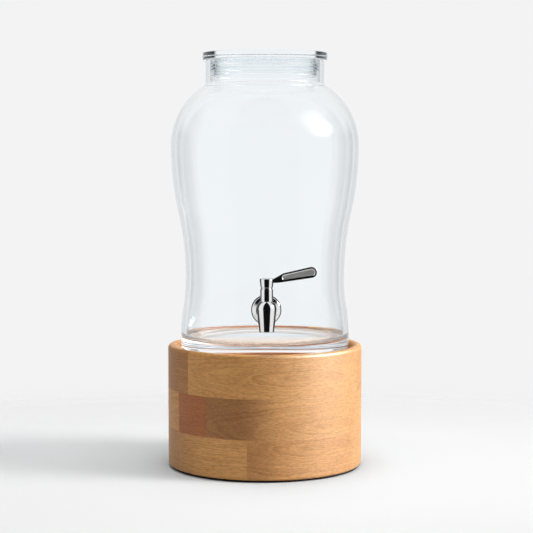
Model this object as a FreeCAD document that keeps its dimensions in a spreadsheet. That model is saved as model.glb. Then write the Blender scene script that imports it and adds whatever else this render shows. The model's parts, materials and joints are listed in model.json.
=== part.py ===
import FreeCAD
import Part
import Sketcher
import os
import re

# A glass dispenser jar with a lift-off glass lid and a lever tap, on a round stand of glued wood.
# Millimetres and degrees. The origin is on the floor under the jar's axis, +Z is up and the tap
# faces -Y. Angles round the stand are counted from the front, positive towards +X.

SIZES = {
    # Stand, from the floor up
    "foot_ring_height": 2.2,
    "foot_ring_inset": 3.0,
    "foot_ring_width": 12.0,
    "lower_course_height": 41.3,
    "middle_course_height": 41.3,
    "upper_course_height": 44.7,
    "rim_width": 9.0,
    "rim_round": 3.5,
    "base_edge_round": 2.5,
    "recess_gap": 4.7,
    "recess_depth": 9.0,
    "shelf_thickness": 12.0,
    "shelf_play": 0.2,
    "ledge_width": 9.0,
    # Glue joints between the staves of each course
    "upper_joint_1": -51.0,
    "upper_joint_2": 69.0,
    "upper_joint_3": 148.0,
    "upper_joint_4": 229.0,
    "middle_joint_1": -61.0,
    "middle_joint_2": -37.0,
    "middle_joint_3": 82.0,
    "middle_joint_4": 190.0,
    "lower_joint_1": -11.0,
    "lower_joint_2": 60.0,
    "lower_joint_3": 165.0,
    "lower_joint_4": 250.0,
    # Jar, heights from its underside
    "jar_foot_radius": 89.3,
    "jar_foot_height": 19.0,
    "heel_round": 8.0,
    "punt_rise": 5.0,
    "standing_ring_width": 10.0,
    "waist_draw": 5.1,
    "waist_height": 79.5,
    "belly_swell": 15.3,
    "shoulder_round": 74.0,
    "neck_draw": 36.8,
    "neck_fillet": 5.0,
    "neck_height": 22.2,
    "jar_height": 308.5,
    "mouth_round": 1.2,
    "jar_wall": 4.5,
    "jar_floor": 16.5,
    "inner_heel_round": 6.0,
    # Lid and its seal
    "lid_overhang": 3.5,
    "lid_thickness": 8.2,
    "lid_edge_round": 0.9,
    "lid_plug_depth": 16.5,
    "lid_plug_play": 2.6,
    "lid_skirt": 2.6,
    "plug_edge_round": 1.0,
    "seal_groove": 0.8,
    "seal_drop": 3.0,
    "seal_sleeve": 1.2,
    "seal_play": 0.25,
    "rib_height": 1.4,
    "rib_pitch": 3.4,
    "rib_count": 3,
    # Tap body, heights from the shank's axis
    "tap_height": 53.5,
    "tap_neck_length": 21.6,
    "tap_neck_radius": 8.6,
    "shank_radius": 7.9,
    "shank_bore_radius": 4.2,
    "shank_spare": 4.0,
    "hole_play": 0.7,
    "spout_drop": 19.5,
    "spout_lip_radius": 7.5,
    "spout_wall": 1.9,
    "spout_bore_depth": 11.0,
    "bulb_radius": 9.9,
    "bulb_rise": 2.5,
    "dome_height": 8.5,
    "dome_round": 10.0,
    "barrel_radius": 6.4,
    "barrel_wall": 1.2,
    "barrel_height": 12.2,
    # Clamping of the tap in the jar's wall
    "escutcheon_radius": 14.5,
    "escutcheon_thickness": 3.0,
    "escutcheon_edge": 0.3,
    "escutcheon_round": 1.2,
    "escutcheon_slope": 24.0,
    "outer_gasket_thickness": 2.6,
    "gasket_overhang": 0.7,
    "inner_gasket_thickness": 3.4,
    "washer_radius": 12.0,
    "washer_thickness": 1.5,
    "nut_flats": 22.0,
    "nut_thickness": 6.0,
    "thread_play": 0.06,
    # Valve in the tap
    "plug_play": 0.08,
    "plug_wall": 1.8,
    "plug_drop": 7.5,
    "port_radius": 3.2,
    "port_cover": 1.6,
    "seat_length": 4.0,
    "seat_wall": 0.9,
    "seat_play": 0.04,
    "ring_section": 0.75,
    "ring_play": 0.05,
    "ring_height": 8.0,
    "ring_spacing": 3.2,
    "pin_radius": 0.8,
    "pin_height": 16.6,
    "pin_inner_end": 2.6,
    "notch_margin": 11.0,
    "lever_swing": 90.0,
    "spigot_depth": 3.2,
    "collar_play": 0.3,
    "collar_inset": 0.7,
    "collar_thickness": 1.3,
    "stem_radius": 3.4,
    # Lever
    "hub_gap": 0.3,
    "hub_height": 8.8,
    "hub_foot_radius": 6.2,
    "hub_radius": 7.0,
    "hub_round": 0.6,
    "hub_roof": 2.4,
    "socket_play": 0.05,
    "screw_radius": 1.5,
    "screw_head_radius": 2.7,
    "screw_head_height": 1.4,
    "screw_depth": 6.0,
    "screw_slot_width": 0.7,
    "screw_slot_depth": 0.6,
    "lever_thickness": 3.0,
    "lever_root_height": 4.3,
    "tenon_depth": 3.1,
    "lever_reach": 44.4,
    "lever_rise": 6.2,
    "lever_tip_radius": 5.45,
    "lever_top_slope": 12.9,
    "lever_bottom_slope": 8.4,
    "lever_top_bend": 9.5,
    "lever_bottom_bend": 5.1,
    "panel_border": 2.0,
    "panel_inset": 10.9,
    "panel_depth": 0.4,
}

# Sizes that follow from those above, as formulas of their names.
FOLLOWING = {
    "recess_radius": "jar_foot_radius + recess_gap",
    "stand_radius": "recess_radius + rim_width",
    "hollow_radius": "recess_radius - ledge_width",
    "rim_rounding": "min(rim_round; 0.45 * rim_width)",
    "foot_ring_radius": "stand_radius - foot_ring_inset",
    "lower_course_top": "foot_ring_height + lower_course_height",
    "middle_course_top": "lower_course_top + middle_course_height",
    "rim_top": "middle_course_top + upper_course_height",
    "jar_seat": "rim_top - recess_depth",
    "shelf_bottom": "jar_seat - shelf_thickness",
    "waist_radius": "jar_foot_radius - waist_draw",
    "belly_radius": "waist_radius + belly_swell",
    "neck_radius": "belly_radius - neck_draw",
    "mouth_radius": "neck_radius - jar_wall",
    "standing_ring_radius": "jar_foot_radius - heel_round - standing_ring_width",
    "punt_arc": "(standing_ring_radius^2 + punt_rise^2) / (2 * punt_rise)",
    "low_turn_radius": "(jar_foot_radius + waist_radius) / 2",
    "low_turn_height": "(jar_foot_height + waist_height) / 2",
    "low_arc": "((waist_height - jar_foot_height)^2 + waist_draw^2) / (4 * waist_draw)",
    "inner_foot_height": "jar_floor + inner_heel_round",
    "inner_turn_height": "(inner_foot_height + waist_height) / 2",
    "inner_low_arc": "((waist_height - inner_foot_height)^2 + waist_draw^2) / (4 * waist_draw)",
    "high_turn_radius": "(waist_radius + belly_radius) / 2",
    "high_turn_height": "(waist_height + belly_height) / 2",
    "high_arc": "((belly_height - waist_height)^2 + belly_swell^2) / (4 * belly_swell)",
    "shoulder_centre": "belly_radius - shoulder_round",
    "shoulder_span": "shoulder_round + neck_fillet",
    "fillet_offset": "shoulder_span - neck_draw",
    "fillet_rise": "sqrt(shoulder_span^2 - fillet_offset^2)",
    "neck_foot_height": "jar_height - neck_height",
    "belly_height": "neck_foot_height - fillet_rise",
    "lid_radius": "neck_radius + lid_overhang",
    "lid_plug_radius": "mouth_radius - lid_plug_play",
    "skirt_inner_radius": "lid_plug_radius - lid_skirt",
    "plug_rounding": "min(plug_edge_round; 0.45 * lid_skirt)",
    "seal_inner_radius": "lid_plug_radius - seal_groove",
    "seal_sleeve_radius": "seal_inner_radius + seal_sleeve",
    "seal_outer_radius": "mouth_radius - seal_play",
    "seal_height": "rib_pitch * (rib_count - 1) + rib_height",
    "lid_seat": "jar_seat + jar_height",
    "shank_height": "jar_seat + tap_height",
    "tap_glass": "waist_radius + low_arc - sqrt(low_arc^2 - (waist_height - tap_height)^2)",
    "tap_inner_glass": "waist_radius - jar_wall + inner_low_arc"
    " - sqrt(inner_low_arc^2 - (waist_height - tap_height)^2)",
    "escutcheon_back": "tap_glass + outer_gasket_thickness",
    "escutcheon_front": "escutcheon_back + escutcheon_thickness",
    "cone_foot_radius": "escutcheon_radius - escutcheon_round * (1 - sin(escutcheon_slope))",
    "cone_foot": "escutcheon_edge + escutcheon_round * cos(escutcheon_slope)",
    "cone_top_radius": "cone_foot_radius - (escutcheon_thickness - cone_foot) / tan(escutcheon_slope)",
    "barrel_reach": "escutcheon_front + tap_neck_length",
    "gasket_radius": "escutcheon_radius + gasket_overhang",
    "washer_front": "tap_inner_glass - inner_gasket_thickness",
    "nut_front": "washer_front - washer_thickness",
    "shank_end": "nut_front - nut_thickness - shank_spare",
    "shank_length": "barrel_reach - shank_end",
    "barrel_foot": "bulb_rise + dome_height",
    "barrel_top": "barrel_foot + barrel_height",
    "chamber_radius": "barrel_radius - barrel_wall",
    "spout_bore_radius": "spout_lip_radius - spout_wall",
    "spout_bore_top": "spout_bore_depth - spout_drop",
    "plug_radius": "chamber_radius - plug_play",
    "plug_bore_radius": "plug_radius - plug_wall",
    "plug_top": "barrel_top - spigot_depth - collar_play",
    "ring_circle": "chamber_radius - ring_play - ring_section",
    "groove_radius": "ring_circle - ring_section - ring_play",
    "groove_half": "ring_section + ring_play",
    "notch_floor": "pin_height - pin_radius - collar_play",
    "collar_top": "barrel_top + collar_thickness",
    "collar_radius": "barrel_radius - collar_inset",
    "collar_bore": "stem_radius + plug_play",
    "hub_foot": "collar_top + hub_gap",
    "hub_top": "hub_foot + hub_height",
    "socket_top": "hub_top - hub_roof",
    "stem_half": "stem_radius / sqrt(2)",
    "socket_half": "stem_half + socket_play",
    "screw_foot": "socket_top - screw_depth",
    "screw_neck": "hub_top - screw_head_height",
    "lever_root": "hub_top - lever_root_height",
    "tenon_end": "hub_radius - tenon_depth",
    "tip_height": "hub_top + lever_rise",
    "tip_middle_slope": "(lever_top_slope + lever_bottom_slope) / 2",
    "top_bend_reach": "hub_radius + lever_top_bend",
    "bottom_bend_reach": "hub_radius + lever_bottom_bend",
    "panel_tip_radius": "lever_tip_radius - panel_border",
    "panel_start": "hub_radius + panel_inset",
}

document = FreeCAD.newDocument("dispenser_jar")
sheet = document.addObject("Spreadsheet::Sheet", "Sizes")
for row, (size_name, size) in enumerate(SIZES.items(), start=1):
    sheet.set(f"A{row}", size_name)
    sheet.set(f"B{row}", str(size))
    sheet.setAlias(f"B{row}", size_name)
document.recompute()

pieces = []


def formula(text):
    """The text with each name replaced by its cell, or by the formula that it follows from."""

    def resolve(match):
        name = match.group()
        if name in SIZES:
            return f"Sizes.{name}"
        if name in FOLLOWING:
            return f"({formula(FOLLOWING[name])})"
        return name

    return re.sub(r"[a-z_][a-z_0-9]*", resolve, str(text))


def number(text):
    """What a formula comes to now."""
    return float(sheet.evalExpression(formula(text)))


def bind(item, **formulas):
    """Ties properties of an object to the sheet. A double underscore stands for a dot."""
    for name, text in formulas.items():
        item.setExpression(name.replace("__", "."), formula(text))


def piece(item, label):
    """Names a finished sub-part and puts it on the list of what is written out."""
    item.Label = label
    pieces.append(item)
    return item


def place(item, x="0", y="0", z="0"):
    """Sets an object down at a point that is bound to the sheet."""
    bind(item, Placement__Base__x=x, Placement__Base__y=y, Placement__Base__z=z)
    return item


def new_body(label):
    return document.addObject("PartDesign::Body", label)


def new_sketch(body, label, plane="XZ_Plane"):
    """An empty sketch on one of the body's own origin planes."""
    sketch = body.newObject("Sketcher::SketchObject", label)
    support = next(item for item in body.Origin.OriginFeatures if item.Role == plane)
    sketch.AttachmentSupport = [(support, "")]
    sketch.MapMode = "FlatFace"
    return sketch


def hold(sketch, edge, end, point):
    """Fixes one end of an edge at a point given as two formulas."""
    for axis, kind, text in ((-2, "DistanceX", point[0]), (-1, "DistanceY", point[1])):
        if text == "0":
            sketch.addConstraint(Sketcher.Constraint("PointOnObject", edge, end, axis))
            continue
        index = sketch.addConstraint(Sketcher.Constraint(kind, edge, end, number(text)))
        sketch.setExpression(f"Constraints[{index}]", formula(text))


def hold_radius(sketch, edge, text):
    index = sketch.addConstraint(Sketcher.Constraint("Radius", edge, number(text)))
    sketch.setExpression(f"Constraints[{index}]", formula(text))


def vector(point):
    return FreeCAD.Vector(number(point[0]), number(point[1]), 0)


def arc_between(first, last, radius, side):
    """The arc of less than half a circle from first to last that turns to the given side."""
    chord = last - first
    turn = 1 if side == "left" else -1
    across = FreeCAD.Vector(-chord.y, chord.x, 0).normalize() * turn
    rise = max(radius**2 - (chord.Length / 2) ** 2, 0) ** 0.5
    centre = first + chord / 2 + across * rise
    middle = centre - across * radius
    return Part.Arc(first, middle, last)


def draw(sketch, *path):
    """A closed loop of held corners. A step is (x, y) for a straight edge that ends there, or
    (x, y, radius, side) for an arc. The last corner is joined to the first by a straight edge."""
    first_edge = sketch.GeometryCount
    corners = [step[:2] for step in path]
    steps = list(path[1:]) + [path[0][:2]]
    ends = []
    for index, step in enumerate(steps):
        start, finish = vector(corners[index]), vector(step)
        if len(step) == 2:
            sketch.addGeometry(Part.LineSegment(start, finish), False)
            ends.append((1, 2))
            continue
        sketch.addGeometry(arc_between(start, finish, number(step[2]), step[3]), False)
        ends.append((1, 2) if step[3] == "left" else (2, 1))
    for index, step in enumerate(steps):
        edge = first_edge + index
        following = (index + 1) % len(steps)
        joint = (edge, ends[index][1], first_edge + following, ends[following][0])
        sketch.addConstraint(Sketcher.Constraint("Coincident", *joint))
        hold(sketch, edge, ends[index][0], corners[index])
        if len(step) > 2:
            hold_radius(sketch, edge, step[2])


def draw_circle(sketch, x, y, radius):
    centre = vector((x, y))
    normal = FreeCAD.Vector(0, 0, 1)
    edge = sketch.addGeometry(Part.Circle(centre, normal, number(radius)), False)
    hold(sketch, edge, 3, (x, y))
    hold_radius(sketch, edge, radius)


def turned(body, sketch, kind="Revolution", angle="360", midplane=False):
    """Turns a sketch about its upright axis, to add or to cut."""
    feature = body.newObject(f"PartDesign::{kind}", f"{body.Label}_{kind}")
    feature.Profile = sketch
    feature.ReferenceAxis = (sketch, ["V_Axis"])
    feature.Midplane = midplane
    bind(feature, Angle=angle)
    return feature


def raised(body, sketch, length, kind="Pad", reverse=False, midplane=False):
    """Raises a sketch along its normal, to add or to cut."""
    feature = body.newObject(f"PartDesign::{kind}", f"{body.Label}_{kind}")
    feature.Profile = sketch
    feature.Midplane = midplane
    feature.Reversed = reverse
    bind(feature, Length=length)
    return feature


def boolean(kind, base, tool, label):
    item = document.addObject(f"Part::{kind}", label)
    item.Base = base
    item.Tool = tool
    return item


def cylinder(label, radius, height, x="0", y="0", z="0", towards_jar=False):
    """A round bar that stands up, or one that runs along +Y from the front towards the jar."""
    item = document.addObject("Part::Cylinder", label)
    bind(item, Radius=radius, Height=height)
    if towards_jar:
        item.Placement.Rotation = FreeCAD.Rotation(FreeCAD.Vector(1, 0, 0), -90)
    return place(item, x, y, z)


def tap_bar(label, radius, front, back):
    """A round bar on the shank's axis between two distances from the jar's axis."""
    length = f"{front} - ({back})"
    return cylinder(label, radius, length, y=f"-({front})", z="shank_height", towards_jar=True)


def tap_ring(label, radius, bore, front, back):
    bar = tap_bar(f"{label}_bar", radius, front, back)
    core = tap_bar(f"{label}_core", bore, front, back)
    return boolean("Cut", bar, core, label)


# Stand

def stave(course, index, angle, section):
    """One glued stave of a course: its section swept from its own joint to the next."""
    body = new_body(f"{course}_stave_{index}")
    sketch = new_sketch(body, f"{course}_section_{index}")
    draw(sketch, *section)
    turned(body, sketch, angle=angle)
    bind(body, Placement__Rotation__Angle=f"{course}_joint_{index} - 90")
    piece(body, f"{course}_stave_{index}")


def course_staves(course, section, stave_count=4):
    for index in range(1, stave_count):
        stave(course, index, f"{course}_joint_{index + 1} - {course}_joint_{index}", section)
    closing_angle = f"{course}_joint_1 + 360 - {course}_joint_{stave_count}"
    stave(course, stave_count, closing_angle, section)


def stand():
    course_staves("lower", [
        ("hollow_radius", "foot_ring_height"),
        ("stand_radius - base_edge_round", "foot_ring_height"),
        ("stand_radius", "foot_ring_height + base_edge_round", "base_edge_round", "left"),
        ("stand_radius", "lower_course_top"),
        ("hollow_radius", "lower_course_top"),
    ])
    course_staves("middle", [
        ("hollow_radius", "lower_course_top"),
        ("stand_radius", "lower_course_top"),
        ("stand_radius", "middle_course_top"),
        ("hollow_radius", "middle_course_top"),
    ])
    course_staves("upper", [
        ("hollow_radius", "middle_course_top"),
        ("stand_radius", "middle_course_top"),
        ("stand_radius", "rim_top - rim_rounding"),
        ("stand_radius - rim_rounding", "rim_top", "rim_rounding", "left"),
        ("recess_radius + rim_rounding", "rim_top"),
        ("recess_radius", "rim_top - rim_rounding", "rim_rounding", "left"),
        ("recess_radius", "shelf_bottom"),
        ("hollow_radius", "shelf_bottom"),
    ])
    shelf = cylinder("shelf", "recess_radius - shelf_play", "shelf_thickness", z="shelf_bottom")
    piece(shelf, "shelf_panel")
    pad = cylinder("foot_pad", "foot_ring_radius", "foot_ring_height")
    middle = cylinder("foot_middle", "foot_ring_radius - foot_ring_width", "foot_ring_height")
    piece(boolean("Cut", pad, middle, "foot"), "foot_ring")


# Jar and lid

def shoulder_point(radius):
    """Where the shoulder's arc of this radius runs into the fillet below the neck."""
    share = f"({radius}) / shoulder_span"
    return (f"shoulder_centre + fillet_offset * {share}", f"belly_height + fillet_rise * {share}")


def jar_forms():
    """The outer form of the jar as if it were solid, and the form of the space inside it."""
    outer = new_body("jar_outer_form")
    sketch = new_sketch(outer, "jar_outer_outline")
    draw(
        sketch,
        ("0", "punt_rise"),
        ("standing_ring_radius", "0", "punt_arc", "right"),
        ("jar_foot_radius - heel_round", "0"),
        ("jar_foot_radius", "heel_round", "heel_round", "left"),
        ("jar_foot_radius", "jar_foot_height"),
        ("low_turn_radius", "low_turn_height", "low_arc", "left"),
        ("waist_radius", "waist_height", "low_arc", "right"),
        ("high_turn_radius", "high_turn_height", "high_arc", "right"),
        ("belly_radius", "belly_height", "high_arc", "left"),
        (*shoulder_point("shoulder_round"), "shoulder_round", "left"),
        ("neck_radius", "neck_foot_height", "neck_fillet", "right"),
        ("neck_radius", "jar_height - mouth_round"),
        ("neck_radius - mouth_round", "jar_height", "mouth_round", "left"),
        ("0", "jar_height"),
    )
    turned(outer, sketch)
    place(outer, z="jar_seat")

    inner = new_body("jar_inner_form")
    sketch = new_sketch(inner, "jar_inner_outline")
    inner_shoulder = "shoulder_round - jar_wall"
    draw(
        sketch,
        ("0", "jar_floor"),
        ("jar_foot_radius - jar_wall - inner_heel_round", "jar_floor"),
        ("jar_foot_radius - jar_wall", "inner_foot_height", "inner_heel_round", "left"),
        ("low_turn_radius - jar_wall", "inner_turn_height", "inner_low_arc", "left"),
        ("waist_radius - jar_wall", "waist_height", "inner_low_arc", "right"),
        ("high_turn_radius - jar_wall", "high_turn_height", "high_arc", "right"),
        ("belly_radius - jar_wall", "belly_height", "high_arc", "left"),
        (*shoulder_point(inner_shoulder), inner_shoulder, "left"),
        ("mouth_radius", "neck_foot_height", "neck_fillet + jar_wall", "right"),
        ("mouth_radius", "jar_height + jar_wall"),
        ("0", "jar_height + jar_wall"),
    )
    turned(inner, sketch)
    place(inner, z="jar_seat")
    return outer, inner


def jar(outer, inner):
    hole = tap_bar("tap_hole", "shank_radius + hole_play", "stand_radius", "hollow_radius / 2")
    shell = boolean("Cut", outer, inner, "jar_shell")
    piece(boolean("Cut", shell, hole, "jar"), "glass_jar")


def lid():
    body = new_body("lid_body")
    sketch = new_sketch(body, "lid_outline")
    seal_foot = "-(seal_drop + seal_height)"
    draw(
        sketch,
        ("0", "0"),
        ("skirt_inner_radius - plug_rounding", "0"),
        ("skirt_inner_radius", "-plug_rounding", "plug_rounding", "right"),
        ("skirt_inner_radius", "plug_rounding - lid_plug_depth"),
        ("skirt_inner_radius + plug_rounding", "-lid_plug_depth", "plug_rounding", "left"),
        ("lid_plug_radius - plug_rounding", "-lid_plug_depth"),
        ("lid_plug_radius", "plug_rounding - lid_plug_depth", "plug_rounding", "left"),
        ("lid_plug_radius", seal_foot),
        ("seal_inner_radius", seal_foot),
        ("seal_inner_radius", "-seal_drop"),
        ("lid_plug_radius", "-seal_drop"),
        ("lid_plug_radius", "0"),
        ("lid_radius - lid_edge_round", "0"),
        ("lid_radius", "lid_edge_round", "lid_edge_round", "left"),
        ("lid_radius", "lid_thickness - lid_edge_round"),
        ("lid_radius - lid_edge_round", "lid_thickness", "lid_edge_round", "left"),
        ("0", "lid_thickness"),
    )
    turned(body, sketch)
    piece(place(body, z="lid_seat"), "glass_lid")

    seal = new_body("seal_body")
    sketch = new_sketch(seal, "seal_outline")
    path = [("seal_inner_radius", "-seal_drop"), ("seal_inner_radius", seal_foot)]
    last_rib = int(SIZES["rib_count"]) - 1
    for rib in range(last_rib + 1):
        rib_foot = f"{seal_foot} + {rib} * rib_pitch"
        if rib:
            path.append(("seal_sleeve_radius", rib_foot))
        path.append(("seal_outer_radius", rib_foot))
        path.append(("seal_outer_radius", f"{rib_foot} + rib_height"))
        if rib < last_rib:
            path.append(("seal_sleeve_radius", f"{rib_foot} + rib_height"))
    draw(sketch, *path)
    turned(seal, sketch)
    piece(place(seal, z="lid_seat"), "lid_seal")


# Tap. Each piece of the valve is drawn about the barrel's axis, with the shank's axis at zero.

def on_barrel(body):
    return place(body, y="-barrel_reach", z="shank_height")


def tap_body():
    body = new_body("tap_casting")
    sketch = new_sketch(body, "tap_outline")
    draw(
        sketch,
        ("0", "-spout_drop"),
        ("spout_lip_radius", "-spout_drop"),
        ("bulb_radius", "bulb_rise"),
        ("barrel_radius", "barrel_foot", "dome_round", "left"),
        ("barrel_radius", "barrel_top"),
        ("0", "barrel_top"),
    )
    turned(body, sketch)
    for name, radius, length in (
        ("neck", "tap_neck_radius", "tap_neck_length"),
        ("shank", "shank_radius", "shank_length"),
    ):
        circle = new_sketch(body, f"tap_{name}_circle")
        draw_circle(circle, "0", "0", radius)
        raised(body, circle, length, reverse=True)
    bores = new_sketch(body, "tap_bores")
    draw(
        bores,
        ("0", "-spout_drop - spout_wall"),
        ("spout_bore_radius", "-spout_drop - spout_wall"),
        ("spout_bore_radius", "spout_bore_top"),
        ("chamber_radius", "spout_bore_top"),
        ("chamber_radius", "barrel_top + barrel_wall"),
        ("0", "barrel_top + barrel_wall"),
    )
    turned(body, bores, kind="Groove")
    waterway = new_sketch(body, "tap_waterway")
    draw_circle(waterway, "0", "0", "shank_bore_radius")
    raised(body, waterway, "shank_length + barrel_wall", kind="Pocket")
    notch = new_sketch(body, "tap_notch")
    draw(
        notch,
        ("stem_radius", "notch_floor"),
        ("barrel_radius + barrel_wall", "notch_floor"),
        ("barrel_radius + barrel_wall", "barrel_top + barrel_wall"),
        ("stem_radius", "barrel_top + barrel_wall"),
    )
    notch.AttachmentOffset.Rotation = FreeCAD.Rotation(FreeCAD.Vector(0, 1, 0), 0)
    bind(notch, AttachmentOffset__Rotation__Angle="lever_swing / 2")
    turned(body, notch, kind="Groove", angle="lever_swing + 2 * notch_margin", midplane=True)
    piece(on_barrel(body), "tap_body")


def tap_clamping(outer, inner):
    body = new_body("escutcheon_body")
    sketch = new_sketch(body, "escutcheon_outline")
    draw(
        sketch,
        ("shank_radius + thread_play", "0"),
        ("escutcheon_radius", "0"),
        ("escutcheon_radius", "escutcheon_edge"),
        ("cone_foot_radius", "cone_foot", "escutcheon_round", "left"),
        ("cone_top_radius", "escutcheon_thickness"),
        ("shank_radius + thread_play", "escutcheon_thickness"),
    )
    turned(body, sketch)
    body.Placement.Rotation = FreeCAD.Rotation(FreeCAD.Vector(1, 0, 0), 90)
    piece(place(body, y="-escutcheon_back", z="shank_height"), "tap_escutcheon")

    bore = "shank_radius + thread_play"
    blank = tap_ring("outer_blank", "gasket_radius", bore, "escutcheon_back", "waist_radius / 2")
    piece(boolean("Cut", blank, outer, "outer_ring"), "outer_gasket")
    blank = tap_ring("inner_blank", "washer_radius", bore, "belly_radius", "washer_front")
    piece(boolean("Common", blank, inner, "inner_ring"), "inner_gasket")
    washer = tap_ring("washer", "washer_radius", bore, "washer_front", "nut_front")
    piece(washer, "clamp_washer")

    nut_blank = document.addObject("Part::Prism", "nut_blank")
    nut_blank.Polygon = 6
    bind(nut_blank, Circumradius="nut_flats / sqrt(3)", Height="nut_thickness")
    nut_blank.Placement.Rotation = FreeCAD.Rotation(FreeCAD.Vector(1, 0, 0), -90)
    place(nut_blank, y="-nut_front", z="shank_height")
    core = tap_bar("nut_core", bore, "nut_front", "nut_front - nut_thickness")
    piece(boolean("Cut", nut_blank, core, "nut"), "lock_nut")


def valve():
    body = new_body("plug_body")
    sketch = new_sketch(body, "plug_outline")
    path = [("0", "-plug_drop"), ("plug_radius", "-plug_drop")]
    for height in ("ring_height", "ring_height + ring_spacing"):
        path.append(("plug_radius", f"{height} - groove_half"))
        path.append(("groove_radius", f"{height} - groove_half"))
        path.append(("groove_radius", f"{height} + groove_half"))
        path.append(("plug_radius", f"{height} + groove_half"))
    path.append(("plug_radius", "plug_top"))
    path.append(("stem_radius", "plug_top"))
    path.append(("stem_radius", "hub_foot"))
    path.append(("0", "hub_foot"))
    draw(sketch, *path)
    turned(body, sketch)
    square = new_sketch(body, "stem_square", "XY_Plane")
    draw(
        square,
        ("-stem_half", "-stem_half"),
        ("stem_half", "-stem_half"),
        ("stem_half", "stem_half"),
        ("-stem_half", "stem_half"),
    )
    raised(body, square, "socket_top")
    bore = new_sketch(body, "plug_bore")
    draw(
        bore,
        ("0", "-plug_drop - plug_wall"),
        ("plug_bore_radius", "-plug_drop - plug_wall"),
        ("plug_bore_radius", "port_radius"),
        ("0", "port_radius + port_cover"),
    )
    turned(body, bore, kind="Groove")
    port = new_sketch(body, "plug_port", "YZ_Plane")
    draw_circle(port, "0", "0", "port_radius")
    raised(body, port, "chamber_radius", kind="Pocket")
    pin_hole = new_sketch(body, "pin_hole")
    draw_circle(pin_hole, "0", "pin_height", "pin_radius")
    raised(body, pin_hole, "chamber_radius", kind="Pocket")
    tapped = new_sketch(body, "screw_hole")
    draw(
        tapped,
        ("0", "screw_foot"),
        ("screw_radius + thread_play", "screw_foot"),
        ("screw_radius + thread_play", "hub_top"),
        ("0", "hub_top"),
    )
    turned(body, tapped, kind="Groove")
    piece(on_barrel(body), "valve_plug")

    rings = []
    for index, height in enumerate(("ring_height", "ring_height + ring_spacing"), start=1):
        ring = document.addObject("Part::Torus", f"o_ring_{index}")
        bind(ring, Radius1="ring_circle", Radius2="ring_section")
        place(ring, y="-barrel_reach", z=f"shank_height + {height}")
        rings.append(ring)
    group = document.addObject("Part::Compound", "o_rings")
    group.Links = rings
    piece(group, "plug_o_rings")

    seat_radius = "shank_bore_radius - seat_play"
    seat_end = "barrel_reach - chamber_radius - seat_length"
    tube = tap_ring("seat", seat_radius, "shank_bore_radius - seat_wall", "barrel_reach", seat_end)
    well = cylinder(
        "seat_well",
        "chamber_radius",
        "2 * barrel_radius",
        y="-barrel_reach",
        z="shank_height - barrel_radius",
    )
    piece(boolean("Cut", tube, well, "seat_ring"), "valve_seat")

    pin = cylinder(
        "pin",
        "pin_radius",
        "barrel_radius - pin_inner_end - ring_play",
        y="pin_inner_end - barrel_reach",
        z="shank_height + pin_height",
        towards_jar=True,
    )
    piece(pin, "stop_pin")

    collar = new_body("collar_body")
    sketch = new_sketch(collar, "collar_outline")
    draw(
        sketch,
        ("collar_bore", "barrel_top - spigot_depth"),
        ("chamber_radius - thread_play", "barrel_top - spigot_depth"),
        ("chamber_radius - thread_play", "barrel_top"),
        ("collar_radius", "barrel_top"),
        ("collar_radius", "collar_top"),
        ("collar_bore", "collar_top"),
    )
    turned(collar, sketch)
    piece(on_barrel(collar), "gland_collar")


# Lever

def hub():
    body = new_body("hub_body")
    sketch = new_sketch(body, "hub_outline")
    draw(
        sketch,
        ("0", "hub_foot"),
        ("hub_foot_radius", "hub_foot"),
        ("hub_radius", "hub_top - hub_round"),
        ("hub_radius - hub_round", "hub_top", "hub_round", "left"),
        ("0", "hub_top"),
    )
    turned(body, sketch)
    socket = new_sketch(body, "hub_socket", "XY_Plane")
    draw(
        socket,
        ("-socket_half", "-socket_half"),
        ("socket_half", "-socket_half"),
        ("socket_half", "socket_half"),
        ("-socket_half", "socket_half"),
    )
    raised(body, socket, "socket_top + socket_play", kind="Pocket", reverse=True)
    sink = new_sketch(body, "hub_sink")
    draw(
        sink,
        ("0", "hub_foot"),
        ("screw_radius + thread_play", "hub_foot"),
        ("screw_radius + thread_play", "screw_neck"),
        ("screw_head_radius + thread_play", "hub_top"),
        ("0", "hub_top"),
    )
    turned(body, sink, kind="Groove")
    slot = new_sketch(body, "hub_slot")
    draw(
        slot,
        ("tenon_end - socket_play", "lever_root - socket_play"),
        ("2 * hub_radius", "lever_root - socket_play"),
        ("2 * hub_radius", "hub_top + hub_round"),
        ("tenon_end - socket_play", "hub_top + hub_round"),
    )
    raised(body, slot, "lever_thickness + 2 * socket_play", kind="Pocket", midplane=True)
    piece(on_barrel(body), "lever_hub")


def tip_point(slope, side, radius):
    """Where a straight edge of this slope meets the round tip, above or below its centre."""
    return (
        f"lever_reach - {side} * ({radius}) * sin({slope})",
        f"tip_height + {side} * ({radius}) * cos({slope})",
    )


def edge_height(slope, side, radius, reach):
    """Height of the straight edge that meets the tip so, at this reach from the axis."""
    x, z = tip_point(slope, side, radius)
    return f"{z} - ({x} - ({reach})) * tan({slope})"


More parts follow.
